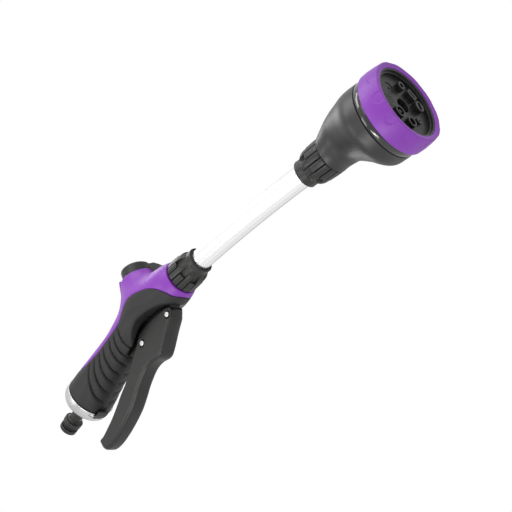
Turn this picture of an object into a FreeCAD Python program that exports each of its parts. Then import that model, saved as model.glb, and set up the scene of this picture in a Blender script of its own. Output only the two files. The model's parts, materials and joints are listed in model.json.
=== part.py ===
import FreeCAD, Part
import Sketcher
import math
import os
from FreeCAD import Vector, Placement, Rotation

# Watering wand with a squeeze trigger, a thumb-turned flow control, a bent aluminium
# lance and a rotating spray-pattern head.  Millimetres.
# Frame: origin at the centre of the hose plug's end face, +X towards the spray head
# (along the lance where it leaves the handle), +Z to the thumb side, +Y across.

doc = FreeCAD.newDocument("watering_wand")

# driving dimensions -------------------------------------------------------------------
# In the names: _r radius, _pcr pitch circle radius, _half half of a width.
DIMENSIONS = [
    # overall layout
    ("handle_tilt", 13.7), ("lance_x", 227.0), ("lance_z", 42.7),
    ("lance_bend_radius", 1499.0), ("lance_arc", 136.1),
    # hose plug, measured along the handle axis from its end face
    ("plug_bore_r", 4.5), ("plug_nose_r", 8.6), ("plug_nose_len", 4.0),
    ("plug_groove_r", 6.6), ("plug_groove_end", 7.4), ("plug_rim_r", 9.1), ("plug_rim_end", 13.0),
    ("plug_neck_r", 5.9), ("plug_neck_end", 25.0),
    ("plug_shoulder_r", 10.0), ("plug_shoulder_end", 33.0),
    ("plug_thread_r", 9.4), ("plug_end", 52.0), ("plug_strainer_r", 7.0), ("oring_wire", 1.9),
    # base ring
    ("ring_start", 34.0), ("ring_end", 46.5), ("ring_r_tail", 20.6), ("ring_r", 23.9),
    ("ring_bore_r", 10.4),
    # lance
    ("tube_r", 9.5), ("tube_wall", 1.0), ("tube_in", 20.0), ("tube_out", 16.0),
    # collars
    ("thread_r", 11.9), ("collar_mouth_r", 12.2), ("collar_bore_r", 9.8), ("collar_step", 7.4),
    ("collar_flare_r", 13.2), ("lower_wide_r", 16.0), ("lower_len", 27.5),
    ("upper_wide_r", 16.6), ("upper_len", 29.5),
    ("rib_h", 0.9), ("rib_w", 4.9), ("rib_count", 8),
    ("seal_r", 11.3), ("seal_depth", 3.0), ("slack", 0.05),
    # spray head, measured along the head axis from the upper collar's mouth
    ("head_drop", 3.8), ("trim_drop", 3.8), ("bell_wall", 2.6), ("bell_mouth_r", 33.6),
    ("bell_end", 83.4), ("trim_r", 33.3), ("trim_end", 89.4),
    ("dial_r_back", 34.9), ("dial_r_mid", 35.2), ("dial_r_front", 34.0),
    ("dial_back", 89.8), ("dial_front", 108.0), ("dial_open_r", 29.6), ("dial_skirt_r", 31.6),
    ("plate_front", 102.0), ("plate_back", 94.5), ("outlet_pcr", 16.4),
    ("scallops", 12), ("scallop_r", 16.0), ("scallop_depth", 0.5),
    # trigger and its pins
    ("pivot_x", 179.5), ("pivot_z", 18.4), ("link_x", 139.3), ("link_z", 12.8),
    ("pin_r", 2.5), ("trigger_half", 8.0), ("web_half", 5.4), ("cheek_gap", 0.4),
    ("run_clear", 0.05),
    # valve and flow control
    ("duct_r", 7.4), ("duct_bore_r", 5.6), ("spigot_inner_r", 8.0), ("spigot_r", 11.85),
    ("boss_r", 3.8), ("barrel_r", 9.6), ("barrel_top", 58.0), ("gland_r", 7.5),
    ("chamber_r", 6.8), ("poppet_r", 6.0), ("rod_r", 2.6), ("spool_x", 152.0),
    ("knob_x", 152.0), ("knob_r", 14.0), ("knob_top", 85.0), ("knob_bottom", 66.0),
    ("cup_r", 16.6), ("cup_bore_r", 14.6), ("cup_top", 74.0), ("cup_floor", 65.0),
    ("stem_r", 4.5),
    # spigot, dial post and detent, clip pin, grip grooves
    ("spigot_start", 190.0), ("outlet_bore_r", 5.4), ("post_r", 4.2), ("detent_pcr", 24.5),
    ("clip_pin_r", 1.25), ("groove_w", 1.1), ("groove_d", 0.9),
]

# Handle sections along X
HANDLE_FIELDS = ("x", "centre", "half_height", "half_width")
HANDLE_STATIONS = [
    (34.0, 8.3, 23.6, 22.9),
    (54.0, 13.2, 23.3, 22.6),
    (66.0, 16.7, 21.8, 21.6),
    (79.0, 20.4, 20.2, 20.5),
    (92.0, 24.0, 18.9, 19.7),
    (107.0, 27.9, 18.6, 19.3),
    (124.0, 32.3, 20.1, 19.8),
    (142.0, 36.6, 22.6, 20.6),
    (160.0, 40.2, 22.6, 21.2),
    (177.0, 42.5, 21.4, 21.0),
    (187.0, 42.7, 20.3, 20.2),
    (195.0, 42.7, 19.0, 19.0),
    (202.6, 42.7, 16.6, 16.6),
]
# Bell sections along the head axis
BELL_FIELDS = ("station", "offset", "radius")
BELL_STATIONS = [
    (29.6, 0.48, 16.97),
    (36.0, 2.73, 18.49),
    (41.0, 3.95, 20.01),
    (46.0, 4.7, 21.4),
    (51.0, 4.1, 23.44),
    (56.0, 2.63, 25.79),
    (61.0, 0.96, 28.32),
    (66.0, -1.2, 31.16),
    (72.0, -3.18, 33.4),
    (83.4, -3.8, 33.66),
]
for prefix, fields, stations in (("handle", HANDLE_FIELDS, HANDLE_STATIONS),
                                 ("bell", BELL_FIELDS, BELL_STATIONS)):
    for number, station in enumerate(stations):
        for field, value in zip(fields, station):
            DIMENSIONS.append(("%s%d_%s" % (prefix, number, field), value))


class Dim:
    """A size that knows its value and its spreadsheet formula."""
    def __init__(self, value, formula):
        self.value = float(value)
        self.formula = formula

    def _combine(self, other, sign, value):
        return Dim(value, "(" + self.formula + sign + other.formula + ")")

    def __add__(self, other):
        other = as_dim(other)
        return self._combine(other, " + ", self.value + other.value)

    def __sub__(self, other):
        other = as_dim(other)
        return self._combine(other, " - ", self.value - other.value)

    def __mul__(self, other):
        other = as_dim(other)
        return self._combine(other, " * ", self.value * other.value)

    def __truediv__(self, other):
        other = as_dim(other)
        return self._combine(other, " / ", self.value / other.value)

    def __neg__(self):
        return Dim(-self.value, "(0 - " + self.formula + ")")


def as_dim(size):
    return size if isinstance(size, Dim) else Dim(size, repr(float(size)))


class Driving:
    """Holds one Dim per spreadsheet alias."""


dim = Driving()
sheet = doc.addObject("Spreadsheet::Sheet", "Params")
for row, (alias, value) in enumerate(DIMENSIONS, 1):
    sheet.set("A%d" % row, alias)
    sheet.set("B%d" % row, repr(value))
    sheet.setAlias("B%d" % row, alias)
    setattr(dim, alias, Dim(value, "Params." + alias))
doc.recompute()


def section_dims(prefix, fields, stations):
    """The Dims of a station table, row by row."""
    return [[getattr(dim, "%s%d_%s" % (prefix, number, field)) for field in fields]
            for number in range(len(stations))]


# sketch helpers -----------------------------------------------------------------------
def link(obj, path, size):
    """Binds a property to the spreadsheet if the size comes from there."""
    if "Params." in size.formula:
        obj.setExpression(path, size.formula)


def measure(sketch, size, kind, *where):
    """Adds a dimensional constraint, bound to the spreadsheet where it can be."""
    size = as_dim(size)
    index = sketch.addConstraint(Sketcher.Constraint(kind, *where, size.value))
    link(sketch, "Constraints[%d]" % index, size)


def origin_item(body, role):
    return [item for item in body.Origin.OriginFeatures if item.Role == role][0]


def make_sketch(body, role, name, offset=None, roll=0):
    """Sketch on an origin plane, moved along its normal and rolled about its own X axis."""
    sketch = body.newObject("Sketcher::SketchObject", name)
    sketch.AttachmentSupport = [(origin_item(body, role), "")]
    sketch.MapMode = "FlatFace"
    if offset is not None or roll:
        offset = as_dim(offset or 0)
        sketch.AttachmentOffset = Placement(Vector(0, 0, offset.value),
                                            Rotation(Vector(1, 0, 0), roll))
        link(sketch, ".AttachmentOffset.Base.z", offset)
    return sketch


def pin_point(sketch, geo, pos, x, y):
    x, y = as_dim(x), as_dim(y)
    if abs(x.value) < 1e-9:
        sketch.addConstraint(Sketcher.Constraint("PointOnObject", geo, pos, -2))
    else:
        measure(sketch, x, "DistanceX", -1, 1, geo, pos)
    if abs(y.value) < 1e-9:
        sketch.addConstraint(Sketcher.Constraint("PointOnObject", geo, pos, -1))
    else:
        measure(sketch, y, "DistanceY", -1, 1, geo, pos)


def add_line(sketch, start, end, construction=False):
    return sketch.addGeometry(Part.LineSegment(start, end), construction)


def polygon(sketch, points):
    count = len(points)
    points = [(as_dim(x), as_dim(y)) for x, y in points]
    corners = [Vector(x.value, y.value, 0) for x, y in points]
    first = sketch.GeometryCount
    for i in range(count):
        add_line(sketch, corners[i], corners[(i + 1) % count])
    for i in range(count):
        sketch.addConstraint(
            Sketcher.Constraint("Coincident", first + i, 2, first + (i + 1) % count, 1))
    for i in range(count):
        pin_point(sketch, first + i, 1, *points[i])


def circle(sketch, x, y, radius):
    x, y, radius = as_dim(x), as_dim(y), as_dim(radius)
    geo = sketch.addGeometry(
        Part.Circle(Vector(x.value, y.value, 0), Vector(0, 0, 1), radius.value), False)
    if abs(x.value) < 1e-9 and abs(y.value) < 1e-9:
        sketch.addConstraint(Sketcher.Constraint("Coincident", geo, 3, -1, 1))
    else:
        pin_point(sketch, geo, 3, x, y)
    measure(sketch, radius, "Radius", geo)


def ellipse(sketch, x, y, half_x, half_y):
    """Ellipse with axes along the sketch axes; the longer one is the major axis."""
    x, y, half_x, half_y = as_dim(x), as_dim(y), as_dim(half_x), as_dim(half_y)
    if abs(half_x.value - half_y.value) < 1e-6:
        circle(sketch, x, y, half_x)
        return
    centre = Vector(x.value, y.value, 0)
    if half_x.value >= half_y.value:
        major, minor = half_x, half_y
        to_major, to_minor = Vector(half_x.value, 0, 0), Vector(0, half_y.value, 0)
        geo = sketch.addGeometry(Part.Ellipse(centre + to_major, centre + to_minor, centre), False)
        direction = "Horizontal"
    else:
        major, minor = half_y, half_x
        to_major, to_minor = Vector(0, half_y.value, 0), Vector(half_x.value, 0, 0)
        geo = sketch.addGeometry(Part.Ellipse(centre + to_major, centre - to_minor, centre), False)
        direction = "Vertical"
    long_axis = add_line(sketch, centre - to_major, centre + to_major, True)
    short_axis = add_line(sketch, centre - to_minor, centre + to_minor, True)
    sketch.addConstraint(
        Sketcher.Constraint("InternalAlignment:EllipseMajorDiameter", long_axis, geo))
    sketch.addConstraint(
        Sketcher.Constraint("InternalAlignment:EllipseMinorDiameter", short_axis, geo))
    sketch.addConstraint(Sketcher.Constraint(direction, long_axis))
    measure(sketch, major * 2, "Distance", long_axis)
    measure(sketch, minor * 2, "Distance", short_axis)
    pin_point(sketch, geo, 3, x, y)


def draw(sketch, shape):
    """A list of corners is a closed outline; a tuple (x, y, radius, ...) is one or more
    circles about the same centre."""
    if isinstance(shape, list):
        polygon(sketch, shape)
    else:
        x, y, *radii = shape
        for radius in radii:
            circle(sketch, x, y, radius)


# feature helpers ----------------------------------------------------------------------
def new_body(name):
    body = doc.addObject("PartDesign::Body", "body_" + name)
    body.Label = name
    return body


def recompute_cut(body, name, least):
    """Recomputes and makes sure that the new cut took away at least this volume."""
    before = body.Shape.Volume
    doc.recompute()
    if body.Shape.Volume > before - least:
        raise RuntimeError(body.Label + " " + name + ": cut nothing")


def revolve(body, shape, name="profile", groove=False, axis="H_Axis", angle=360):
    """Turns a shape of the XZ plane.  About H_Axis (body X) its columns are distance along
    the axis, radius; about V_Axis (body Z) they are radius, height."""
    sketch = make_sketch(body, "XZ_Plane", name)
    draw(sketch, shape)
    doc.recompute()
    kind = "PartDesign::Groove" if groove else "PartDesign::Revolution"
    feature = body.newObject(kind, name + "_turn")
    feature.Profile = sketch
    feature.ReferenceAxis = (sketch, [axis])
    feature.Angle = angle
    if angle < 360:
        feature.Midplane = True
    sketch.Visibility = False
    if groove:
        recompute_cut(body, name, 0.5)
    else:
        doc.recompute()


def extrude(body, name, shape, length, role="XZ_Plane", start=None, pocket=False,
            reverse=False, roll=0):
    """Pad or pocket; without a start it is symmetric about the sketch plane."""
    sketch = make_sketch(body, role, name, start, roll)
    draw(sketch, shape)
    doc.recompute()
    kind, suffix = ("PartDesign::Pocket", "_cut") if pocket else ("PartDesign::Pad", "_pad")
    feature = body.newObject(kind, name + suffix)
    feature.Profile = sketch
    length = as_dim(length)
    feature.Length = length.value
    link(feature, "Length", length)
    if start is None:
        feature.Midplane = True
    if reverse:
        feature.Reversed = True
    sketch.Visibility = False
    if pocket:
        recompute_cut(body, name, 0.05)
    else:
        doc.recompute()
    return feature


def extrude_up(body, name, shape, bottom, length, **options):
    """Extrusion of an XY sketch at height bottom."""
    return extrude(body, name, shape, length, role="XY_Plane", start=bottom, **options)


def extrude_along(body, name, shape, start, length, **options):
    """Extrusion of a YZ sketch at distance start along X."""
    return extrude(body, name, shape, length, role="YZ_Plane", start=start, **options)


def polar(body, feature, count, name):
    """Repeats a feature evenly about the body's X axis."""
    pattern = body.newObject("PartDesign::PolarPattern", name)
    pattern.Originals = [feature]
    pattern.Axis = (origin_item(body, "X_Axis"), [""])
    pattern.Angle = 360
    count = as_dim(count)
    pattern.Occurrences = int(count.value)
    link(pattern, "Occurrences", count)
    body.Tip = pattern
    doc.recompute()


def loft(body, sections, name, ruled=False):
    """sections: (station, centre, half height, half width) on planes across X."""
    sketches = []
    for i, (station, centre, half_height, half_width) in enumerate(sections):
        sketch = make_sketch(body, "YZ_Plane", "%s_%d" % (name, i), station)
        ellipse(sketch, 0, centre, half_width, half_height)
        sketch.Visibility = False
        sketches.append(sketch)
    doc.recompute()
    feature = body.newObject("PartDesign::AdditiveLoft", name)
    feature.Profile = sketches[0]
    feature.Sections = sketches[1:]
    feature.Ruled = ruled
    doc.recompute()


def boolean(kind, name, *objs):
    result = doc.addObject(kind, name)
    if kind == "Part::Cut":
        result.Base, result.Tool = objs
    else:
        result.Shapes = list(objs)
    doc.recompute()
    if result.Shape.isNull() or not result.Shape.isValid():
        raise RuntimeError(name + ": bad boolean")
    return result


def cut(name, base, tool):
    return boolean("Part::Cut", name, base, tool)


def fuse(name, *objs):
    return boolean("Part::MultiFuse", name, *objs)


nodes = {}          # node name -> document object


def finish(name, obj, placement=None):
    obj.Label = name
    if placement is not None:
        obj.Placement = placement
    nodes[name] = obj


def turned(name, shape, placement):
    """A placed body of one full turn about its X axis."""
    body = new_body(name)
    revolve(body, shape)
    body.Placement = placement
    return body


def turned_part(name, shape, placement):
    finish(name, turned(name, shape, placement))


def coil_spring(name, pitch, height, coil_r, wire_r, placement):
    helix = Part.makeHelix(pitch, height, coil_r)
    section = Part.Wire([Part.makeCircle(wire_r, Vector(coil_r, 0, 0), Vector(0, 1, 0))])
    spring = doc.addObject("Part::Feature", name + "_shape")
    spring.Shape = Part.Wire(helix.Edges).makePipeShell([section], True, True)
    finish(name, spring, placement)


# frames -------------------------------------------------------------------------------
def at(x, z):
    return Placement(Vector(as_dim(x).value, 0, as_dim(z).value), Rotation())


COLLAR_SHIFT = 3.9                # lower collar's mouth beyond the lance start
bend_angle = dim.lance_arc.value / dim.lance_bend_radius.value
arc_end_x = dim.lance_bend_radius.value * math.sin(bend_angle)
arc_end_z = -dim.lance_bend_radius.value * (1 - math.cos(bend_angle))

handle_frame = Placement(Vector(0, 0, 0), Rotation(Vector(0, 1, 0), -dim.handle_tilt.value))
lance_frame = at(dim.lance_x, dim.lance_z)
lower_frame = lance_frame.multiply(at(COLLAR_SHIFT, 0))
head_frame = Placement(Vector(dim.lance_x.value + arc_end_x, 0, dim.lance_z.value + arc_end_z),
                       Rotation(Vector(0, 1, 0), math.degrees(bend_angle)))
dial_frame = head_frame.multiply(at(0, -dim.head_drop))
# X of this frame points up the valve, so distances along it are heights
valve_frame = Placement(Vector(dim.spool_x.value, 0, 0), Rotation(Vector(0, 1, 0), -90))

# hose plug ----------------------------------------------------------------------------
STRAINER_RECESS = 6.0
turned_part("hose_plug", [
    (0, dim.plug_bore_r),
    (dim.plug_end, dim.plug_bore_r),
    (dim.plug_end, dim.plug_strainer_r),
    (dim.plug_end - STRAINER_RECESS, dim.plug_strainer_r),
    (dim.plug_end - STRAINER_RECESS, dim.plug_thread_r),
    (dim.plug_shoulder_end, dim.plug_thread_r),
    (dim.plug_shoulder_end, dim.plug_shoulder_r),
    (dim.plug_shoulder_end - 6.5, dim.plug_shoulder_r),
    (dim.plug_neck_end - 1.5, dim.plug_neck_r),
    (dim.plug_rim_end + 1.5, dim.plug_neck_r),
    (dim.plug_rim_end, dim.plug_neck_r + 1.4),
    (dim.plug_rim_end, dim.plug_rim_r - 0.5),
    (dim.plug_rim_end - 0.5, dim.plug_rim_r),
    (dim.plug_groove_end + 0.9, dim.plug_rim_r),
    (dim.plug_groove_end, dim.plug_rim_r - 0.9),
    (dim.plug_groove_end, dim.plug_groove_r),
    (dim.plug_nose_len, dim.plug_groove_r),
    (dim.plug_nose_len, dim.plug_nose_r),
    (0, dim.plug_nose_r)], handle_frame)

turned_part("plug_o_ring", (
    (dim.plug_nose_len + dim.plug_groove_end) / 2,
    dim.plug_groove_r + dim.oring_wire / 2 + 0.02,
    dim.oring_wire / 2 * 0.86), handle_frame)

# inlet strainer: flanged cone with a ring of holes, against the plug's inner end
MESH_HOLES, MESH_PCR, MESH_HOLE_R = 9, 4.2, 0.55
strainer = new_body("strainer")
revolve(strainer, [
    (dim.plug_end + 0.1, 0),
    (dim.plug_end + 0.1, dim.plug_strainer_r + 0.6),
    (dim.plug_end + 0.9, dim.plug_strainer_r + 0.6),
    (dim.plug_end + 0.9, dim.plug_strainer_r - 1.4),
    (dim.plug_end + 4.4, 2.2),
    (dim.plug_end + 4.4, 0)])
mesh_hole = extrude_along(strainer, "mesh_hole", (0, MESH_PCR, MESH_HOLE_R), dim.plug_end, 8,
                          pocket=True, reverse=True)
polar(strainer, mesh_hole, MESH_HOLES, "mesh_holes")
finish("inlet_strainer", strainer, handle_frame)

# base ring: trim around the grip's hose end -------------------------------------------
clip_x, clip_z = dim.ring_end - 2.9, -22.3        # lock clip's hinge, in the handle frame
slot_start, slot_end = dim.ring_end - 5.7, dim.ring_end + 1.0
catch_start, catch_end = dim.ring_end - 2.0, dim.ring_end - 0.6
base_ring = new_body("base_ring")
revolve(base_ring, [
    (dim.ring_start, dim.ring_bore_r),
    (dim.ring_end - 3, dim.ring_bore_r),
    (dim.ring_end - 3, dim.ring_r - 3.2),
    (dim.ring_end, dim.ring_r - 3.2),
    (dim.ring_end, dim.ring_r),
    (dim.ring_end - 5.2, dim.ring_r - 0.1),
    (dim.ring_start + 1.4, dim.ring_r_tail + 0.9),
    (dim.ring_start, dim.ring_r_tail - 0.8)])
# catch rim beside the lock clip, the clip's slot and its pin hole
revolve(base_ring, [(catch_start, -22.0), (catch_start, -25.4), (catch_end, -25.4),
                    (catch_end, -22.0)], name="catch", angle=70)
extrude(base_ring, "clip_slot", [(slot_start, -30), (slot_end, -30), (slot_end, -20.0),
                                 (slot_start, -20.0)], 11.2, pocket=True)
extrude(base_ring, "clip_pin_hole", (clip_x, clip_z, dim.clip_pin_r), 15.0, pocket=True)
finish("base_ring", base_ring, handle_frame)

# lance: tube swept along straight, arc, straight --------------------------------------
lance = new_body("lance")
path = make_sketch(lance, "XZ_Plane", "path")
bend_r = dim.lance_bend_radius
add_line(path, Vector(-dim.tube_in.value, 0, 0), Vector(0, 0, 0))
path.addGeometry(Part.ArcOfCircle(
    Part.Circle(Vector(0, -bend_r.value, 0), Vector(0, 0, 1), bend_r.value),
    math.pi / 2 - bend_angle, math.pi / 2), False)
arc_end = Vector(arc_end_x, arc_end_z, 0)
add_line(path, arc_end,
         arc_end + Vector(math.cos(bend_angle), -math.sin(bend_angle), 0) * dim.tube_out.value)
path.addConstraint(Sketcher.Constraint("PointOnObject", 0, 1, -1))
measure(path, dim.tube_in, "DistanceX", 0, 1, -1, 1)
path.addConstraint(Sketcher.Constraint("Coincident", 0, 2, -1, 1))
path.addConstraint(Sketcher.Constraint("Coincident", 1, 2, -1, 1))
path.addConstraint(Sketcher.Constraint("PointOnObject", 1, 3, -2))
measure(path, bend_r, "Radius", 1)
path.addConstraint(Sketcher.Constraint("Tangent", 1, 1, 2, 1))
measure(path, arc_end_x, "DistanceX", -1, 1, 1, 1)
measure(path, dim.tube_out, "Distance", 2)
tube_section = make_sketch(lance, "YZ_Plane", "section", -dim.tube_in)
draw(tube_section, (0, 0, dim.tube_r, dim.tube_r - dim.tube_wall))
doc.recompute()
pipe = lance.newObject("PartDesign::AdditivePipe", "drawn_tube")
pipe.Profile = tube_section
pipe.Spine = path
doc.recompute()
path.Visibility = tube_section.Visibility = False
finish("lance_tube", lance, lance_frame)


# collar nuts --------------------------------------------------------------------------
def collar_nut(name, wide_r, length, side, frame):
    """Union nut: plain mouth sleeve, then a flared grip with long and short ribs.
    side is +1 when it runs along +X from its mouth and -1 when it runs along -X."""
    body = new_body(name)
    step = dim.collar_step
    thread_end = step + 5.0
    revolve(body, [
        (0, dim.seal_r + 0.05),
        (0, dim.collar_mouth_r - 0.4),
        (side * 0.5, dim.collar_mouth_r),
        (step * side, dim.collar_mouth_r + 0.25),
        (step * side, dim.collar_flare_r - dim.rib_h),
        ((length - 1.6) * side, wide_r - dim.rib_h),
        (length * side, wide_r - dim.rib_h - 0.7),
        (length * side, dim.thread_r),
        (thread_end * side, dim.thread_r),
        (thread_end * side, dim.collar_bore_r),
        (dim.seal_depth * side, dim.collar_bore_r),
        (dim.seal_depth * side, dim.seal_r + 0.05)])

    def rib_top(x):
        slope = (x - step) / (length - step)
        return dim.collar_flare_r + (wide_r - dim.collar_flare_r) * slope

    def crest(start, end):
        """Outer edge of a rib, with its ends bevelled."""
        return [(start * side, rib_top(start) - 0.7),
                ((start + 0.7) * side, rib_top(start + 0.7)),
                ((end - 0.8) * side, rib_top(end - 0.8)),
                (end * side, rib_top(end) - 0.8)]

    rib_end = length - 0.2
    long_root = dim.thread_r + 0.5
    long_rib = extrude(body, "rib", [(step * side, dim.collar_bore_r + 1.2)]
                       + crest(step, rib_end)
                       + [(rib_end * side, long_root), ((step + 4.4) * side, long_root)],
                       dim.rib_w)
    polar(body, long_rib, dim.rib_count, "ribs")
    # short ribs at the wide end, turned half a pitch from the long ones
    short_start = step + 9.0
    short_root = dim.thread_r + 0.6
    short_rib = extrude(body, "short_bar", [(short_start * side, short_root)]
                        + crest(short_start, rib_end) + [(rib_end * side, short_root)],
                        dim.rib_w, roll=180.0 / dim.rib_count.value)
    polar(body, short_rib, dim.rib_count, "short_bars")
    finish(name, body, frame)


collar_nut("lower_collar_nut", dim.lower_wide_r, dim.lower_len, -1, lower_frame)
collar_nut("upper_collar_nut", dim.upper_wide_r, dim.upper_len, 1, head_frame)

for name, side, frame in (("lower_tube_seal", -1, lower_frame),
                          ("upper_tube_seal", 1, head_frame)):
    seal_back = (dim.seal_depth - 0.05) * side
    turned_part(name, [(0.7 * side, dim.tube_r + dim.slack + 0.02), (0.7 * side, dim.seal_r),
                       (seal_back, dim.seal_r), (seal_back, dim.tube_r + dim.slack)], frame)

# handle: side outlines (x, z) ---------------------------------------------------------
# everything below this outline's upper edge is soft grip, the rest is hard shell
GRIP_REGION = [
    (30, -60), (30, 44), (46, 40), (52, 34.5), (60, 30.0), (70.3, 28.2), (80.9, 28.6),
    (91.2, 29.8), (101.7, 32.1), (111, 34.0), (120.5, 35.7), (130.2, 38.4), (136.3, 41.9),
    (141.9, 45.6), (147.3, 48.2), (153, 49.7), (161.7, 49.3), (169.9, 47.1), (176.8, 44.8),
    (182.5, 41.7), (187.2, 38.3), (190.8, 34.7), (193.7, 30.6), (196.4, 26.0), (206, 22.0),
    (206, -60)]
CUP_RAMP = [(108, 38), (114, 46.5), (121, 50.4), (127, 56.0), (131.5, 62.5), (134, 70),
            (142, 70), (150, 50), (150, 38)]
TRIGGER_BAY = [
    (206, 14), (196, 22.0), (189, 23.2), (182.6, 25.9), (175.1, 27.6), (167.3, 28.6),
    (157.6, 28.9), (150.1, 28.2), (142.1, 25.0), (136.4, 21.2), (130.6, 16.5), (126.0, 12.5),
    (122, 4), (118, -12), (206, -40)]
CHEEK_SLOT = [
    (100.6, 3.3), (106.7, 7.6), (120.7, 16.1), (134.9, 25.4), (141.1, 28.4), (147.8, 29.4),
    (159.4, 29.4), (171.4, 28.0), (181.3, 25.8), (186.0, 22.0), (186.0, 4.0), (150.0, -6.0),
    (118.0, -8.0)]
BAY_LINER = [
    (206, 17.5), (197, 24.6), (190, 25.9), (183.5, 28.6), (175.6, 30.2), (167.6, 31.4),
    (157.4, 32.0), (147, 32.0), (139, 30.5), (131, 26.5), (118, 18.0), (104, 10.0),
    (98, 4.0), (98, -12.0), (206, -40)]
# the valve body's tongue, between the trigger's cheeks
TONGUE = [
    (183.1, 22.9), (186.1, 25.7), (189.1, 29.1), (187.1, 35.2), (116.7, 35.2), (111.7, 24.1),
    (113.7, 15.1), (120.8, 9.1), (127.8, 4.6), (136.9, 4.0), (146.9, 3.6), (157.0, 4.6),
    (166.0, 8.9), (176.7, 16.0), (179.5, 17.5), (182.5, 19.1)]
# centre lines of the grooves around the grip, one row each
GRIP_GROOVES = [
    [(128.6, 40), (125.8, 26), (125.0, 19.8), (125.6, 15.0), (127.5, 8)],
    [(121.0, 38), (117.6, 27), (115.6, 20.1), (114.7, 14.8), (114.6, 6)],
    [(113.6, 36), (108.7, 23.4), (106.7, 15.6), (105.6, 10.4), (105.2, 4)],
    [(103.4, 34), (99.9, 25.8), (97.3, 16.9), (95.1, 10.2), (94.2, 6.0), (93.6, 0)],
    [(95.6, 30), (91.2, 21), (87.6, 13.1), (84.8, 5.6), (83.4, 1.8), (82.0, -6)],
    [(87.5, 29), (82.2, 19.4), (78.3, 11.0), (74.7, 2.8), (72.4, -2.0), (70.5, -9)],
    [(79.5, 28), (74.2, 19.0), (69.1, 8.7), (65.1, 0.5), (62.4, -6.4), (60.6, -13)]]
SKIN = 2.4              # depth of the soft grip over the shell
ACROSS = 60             # width of the tools that cross the whole handle
TOWER_BASE = 34.0       # height at which the thumb cup's tower starts
BARREL_BASE = 30.0      # height at which the valve barrel starts
CHAMBER_FLOOR = 34.0    # height of the valve chamber's floor
tongue_width = dim.web_half * 2


def handle_skin(name, inset):
    """The lofted handle, drawn in by inset."""
    body = new_body(name)
    loft(body, [(x, centre, half_height - inset, half_width - inset)
                for x, centre, half_height, half_width
                in section_dims("handle", HANDLE_FIELDS, HANDLE_STATIONS)], name + "_skin")
    return body


def valve_outside(body):
    """Tongue, pivot boss and barrel: the valve body and the room it takes."""
    extrude(body, "tongue", TONGUE, tongue_width)
    extrude(body, "boss", (dim.pivot_x, dim.pivot_z, dim.boss_r), tongue_width)
    extrude_up(body, "barrel", (dim.spool_x, 0, dim.barrel_r), BARREL_BASE,
               dim.barrel_top - BARREL_BASE)


handle_outer = handle_skin("handle_outer", 0)
handle_inner = handle_skin("handle_inner", SKIN)

# thumb cup: a round tower that carries the flow control, with a thumb stop on its
# hose side and a ramp up to it from the grip's top
cup_rear_x = dim.knob_x - dim.cup_r
cup = new_body("thumb_cup")
extrude_up(cup, "tower", (dim.knob_x, 0, dim.cup_r), TOWER_BASE, dim.cup_top - TOWER_BASE)
extrude(cup, "lip", [(dim.knob_x - 12, 58), (cup_rear_x - 0.4, 58), (cup_rear_x + 0.6, 68),
                     (cup_rear_x + 1.2, 80.6), (cup_rear_x + 2.6, 80.0),
                     (dim.knob_x - 12.2, 74)], 17)
extrude(cup, "ramp", CUP_RAMP, 21)

grip_region = new_body("grip_region")
extrude(grip_region, "region", GRIP_REGION, 80)

# trigger bay, with the slot the two cheeks and the link pin's ends swing up into
bay = new_body("trigger_bay")
extrude(bay, "bay", TRIGGER_BAY, ACROSS)
extrude(bay, "cheek_slot", CHEEK_SLOT, (dim.trigger_half + 0.8) * 2)
web = new_body("web_block")
extrude(web, "web", TONGUE[:3] + [(196, 60), (100, 60)] + TONGUE[5:], tongue_width)

# the room the inner pieces take in the handle moulding
duct_room = turned("duct_room", [
    (30, 0), (30, dim.plug_thread_r), (57, dim.plug_thread_r), (57, dim.duct_r),
    (150, dim.duct_r), (150, 0)], handle_frame)
front_room = turned("front_room", [
    (150, 0), (150, dim.spigot_inner_r), (dim.spigot_start, dim.spigot_inner_r),
    (dim.spigot_start, dim.spigot_r), (210, dim.spigot_r), (210, 0)], at(0, dim.lance_z))
valve_room = new_body("valve_room")
valve_outside(valve_room)
knob_well = new_body("knob_well")
extrude_up(knob_well, "well", (dim.knob_x, 0, dim.cup_bore_r), dim.cup_floor, 40)
extrude_up(knob_well, "gland_hole", (dim.knob_x, 0, dim.gland_r), 50, 20)
pin_holes = new_body("pin_holes")
extrude(pin_holes, "pivot_hole", (dim.pivot_x, dim.pivot_z, dim.pin_r + 0.3), ACROSS)
end_cut = turned("end_cut", [(-10, 0), (-10, 70), (dim.ring_end, 70), (dim.ring_end, 0)],
                 handle_frame)

# the soft grip is the outer skin below the dividing line; it also lines the trigger bay
envelope = fuse("envelope", handle_outer, cup)
core_all = fuse("core_all", handle_inner, cup)
liner = new_body("bay_liner")
extrude(liner, "liner", BAY_LINER, ACROSS)
core = cut("core", core_all, liner)
grip_all = boolean("Part::MultiCommon", "grip_all", envelope, grip_region)
grip_ring = cut("grip_ring", grip_all, core)
bay_side = cut("bay_side", bay, web)
voids = fuse("voids", duct_room, front_room, valve_room, knob_well, pin_holes, end_cut,
             bay_side)
grip_raw = cut("grip_raw", grip_ring, voids)

# grooves: strips across the handle, kept only in the outermost groove_d
strips = new_body("groove_strips")
half_groove = dim.groove_w / 2
for i, centre_line in enumerate(GRIP_GROOVES):
    extrude(strips, "strip%d" % i,
            [(as_dim(x) - half_groove, z) for x, z in centre_line]
            + [(as_dim(x) + half_groove, z) for x, z in reversed(centre_line)], ACROSS)
groove_floor = handle_skin("groove_floor", dim.groove_d)
groove_cutters = cut("groove_cutters", strips, groove_floor)
grip = cut("grip_cut", grip_raw, groove_cutters)
shell_raw = cut("shell_raw", envelope, grip_ring)
shell = cut("shell_cut", shell_raw, voids)
finish("grip_sleeve", grip)
finish("handle_shell", shell)

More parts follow.
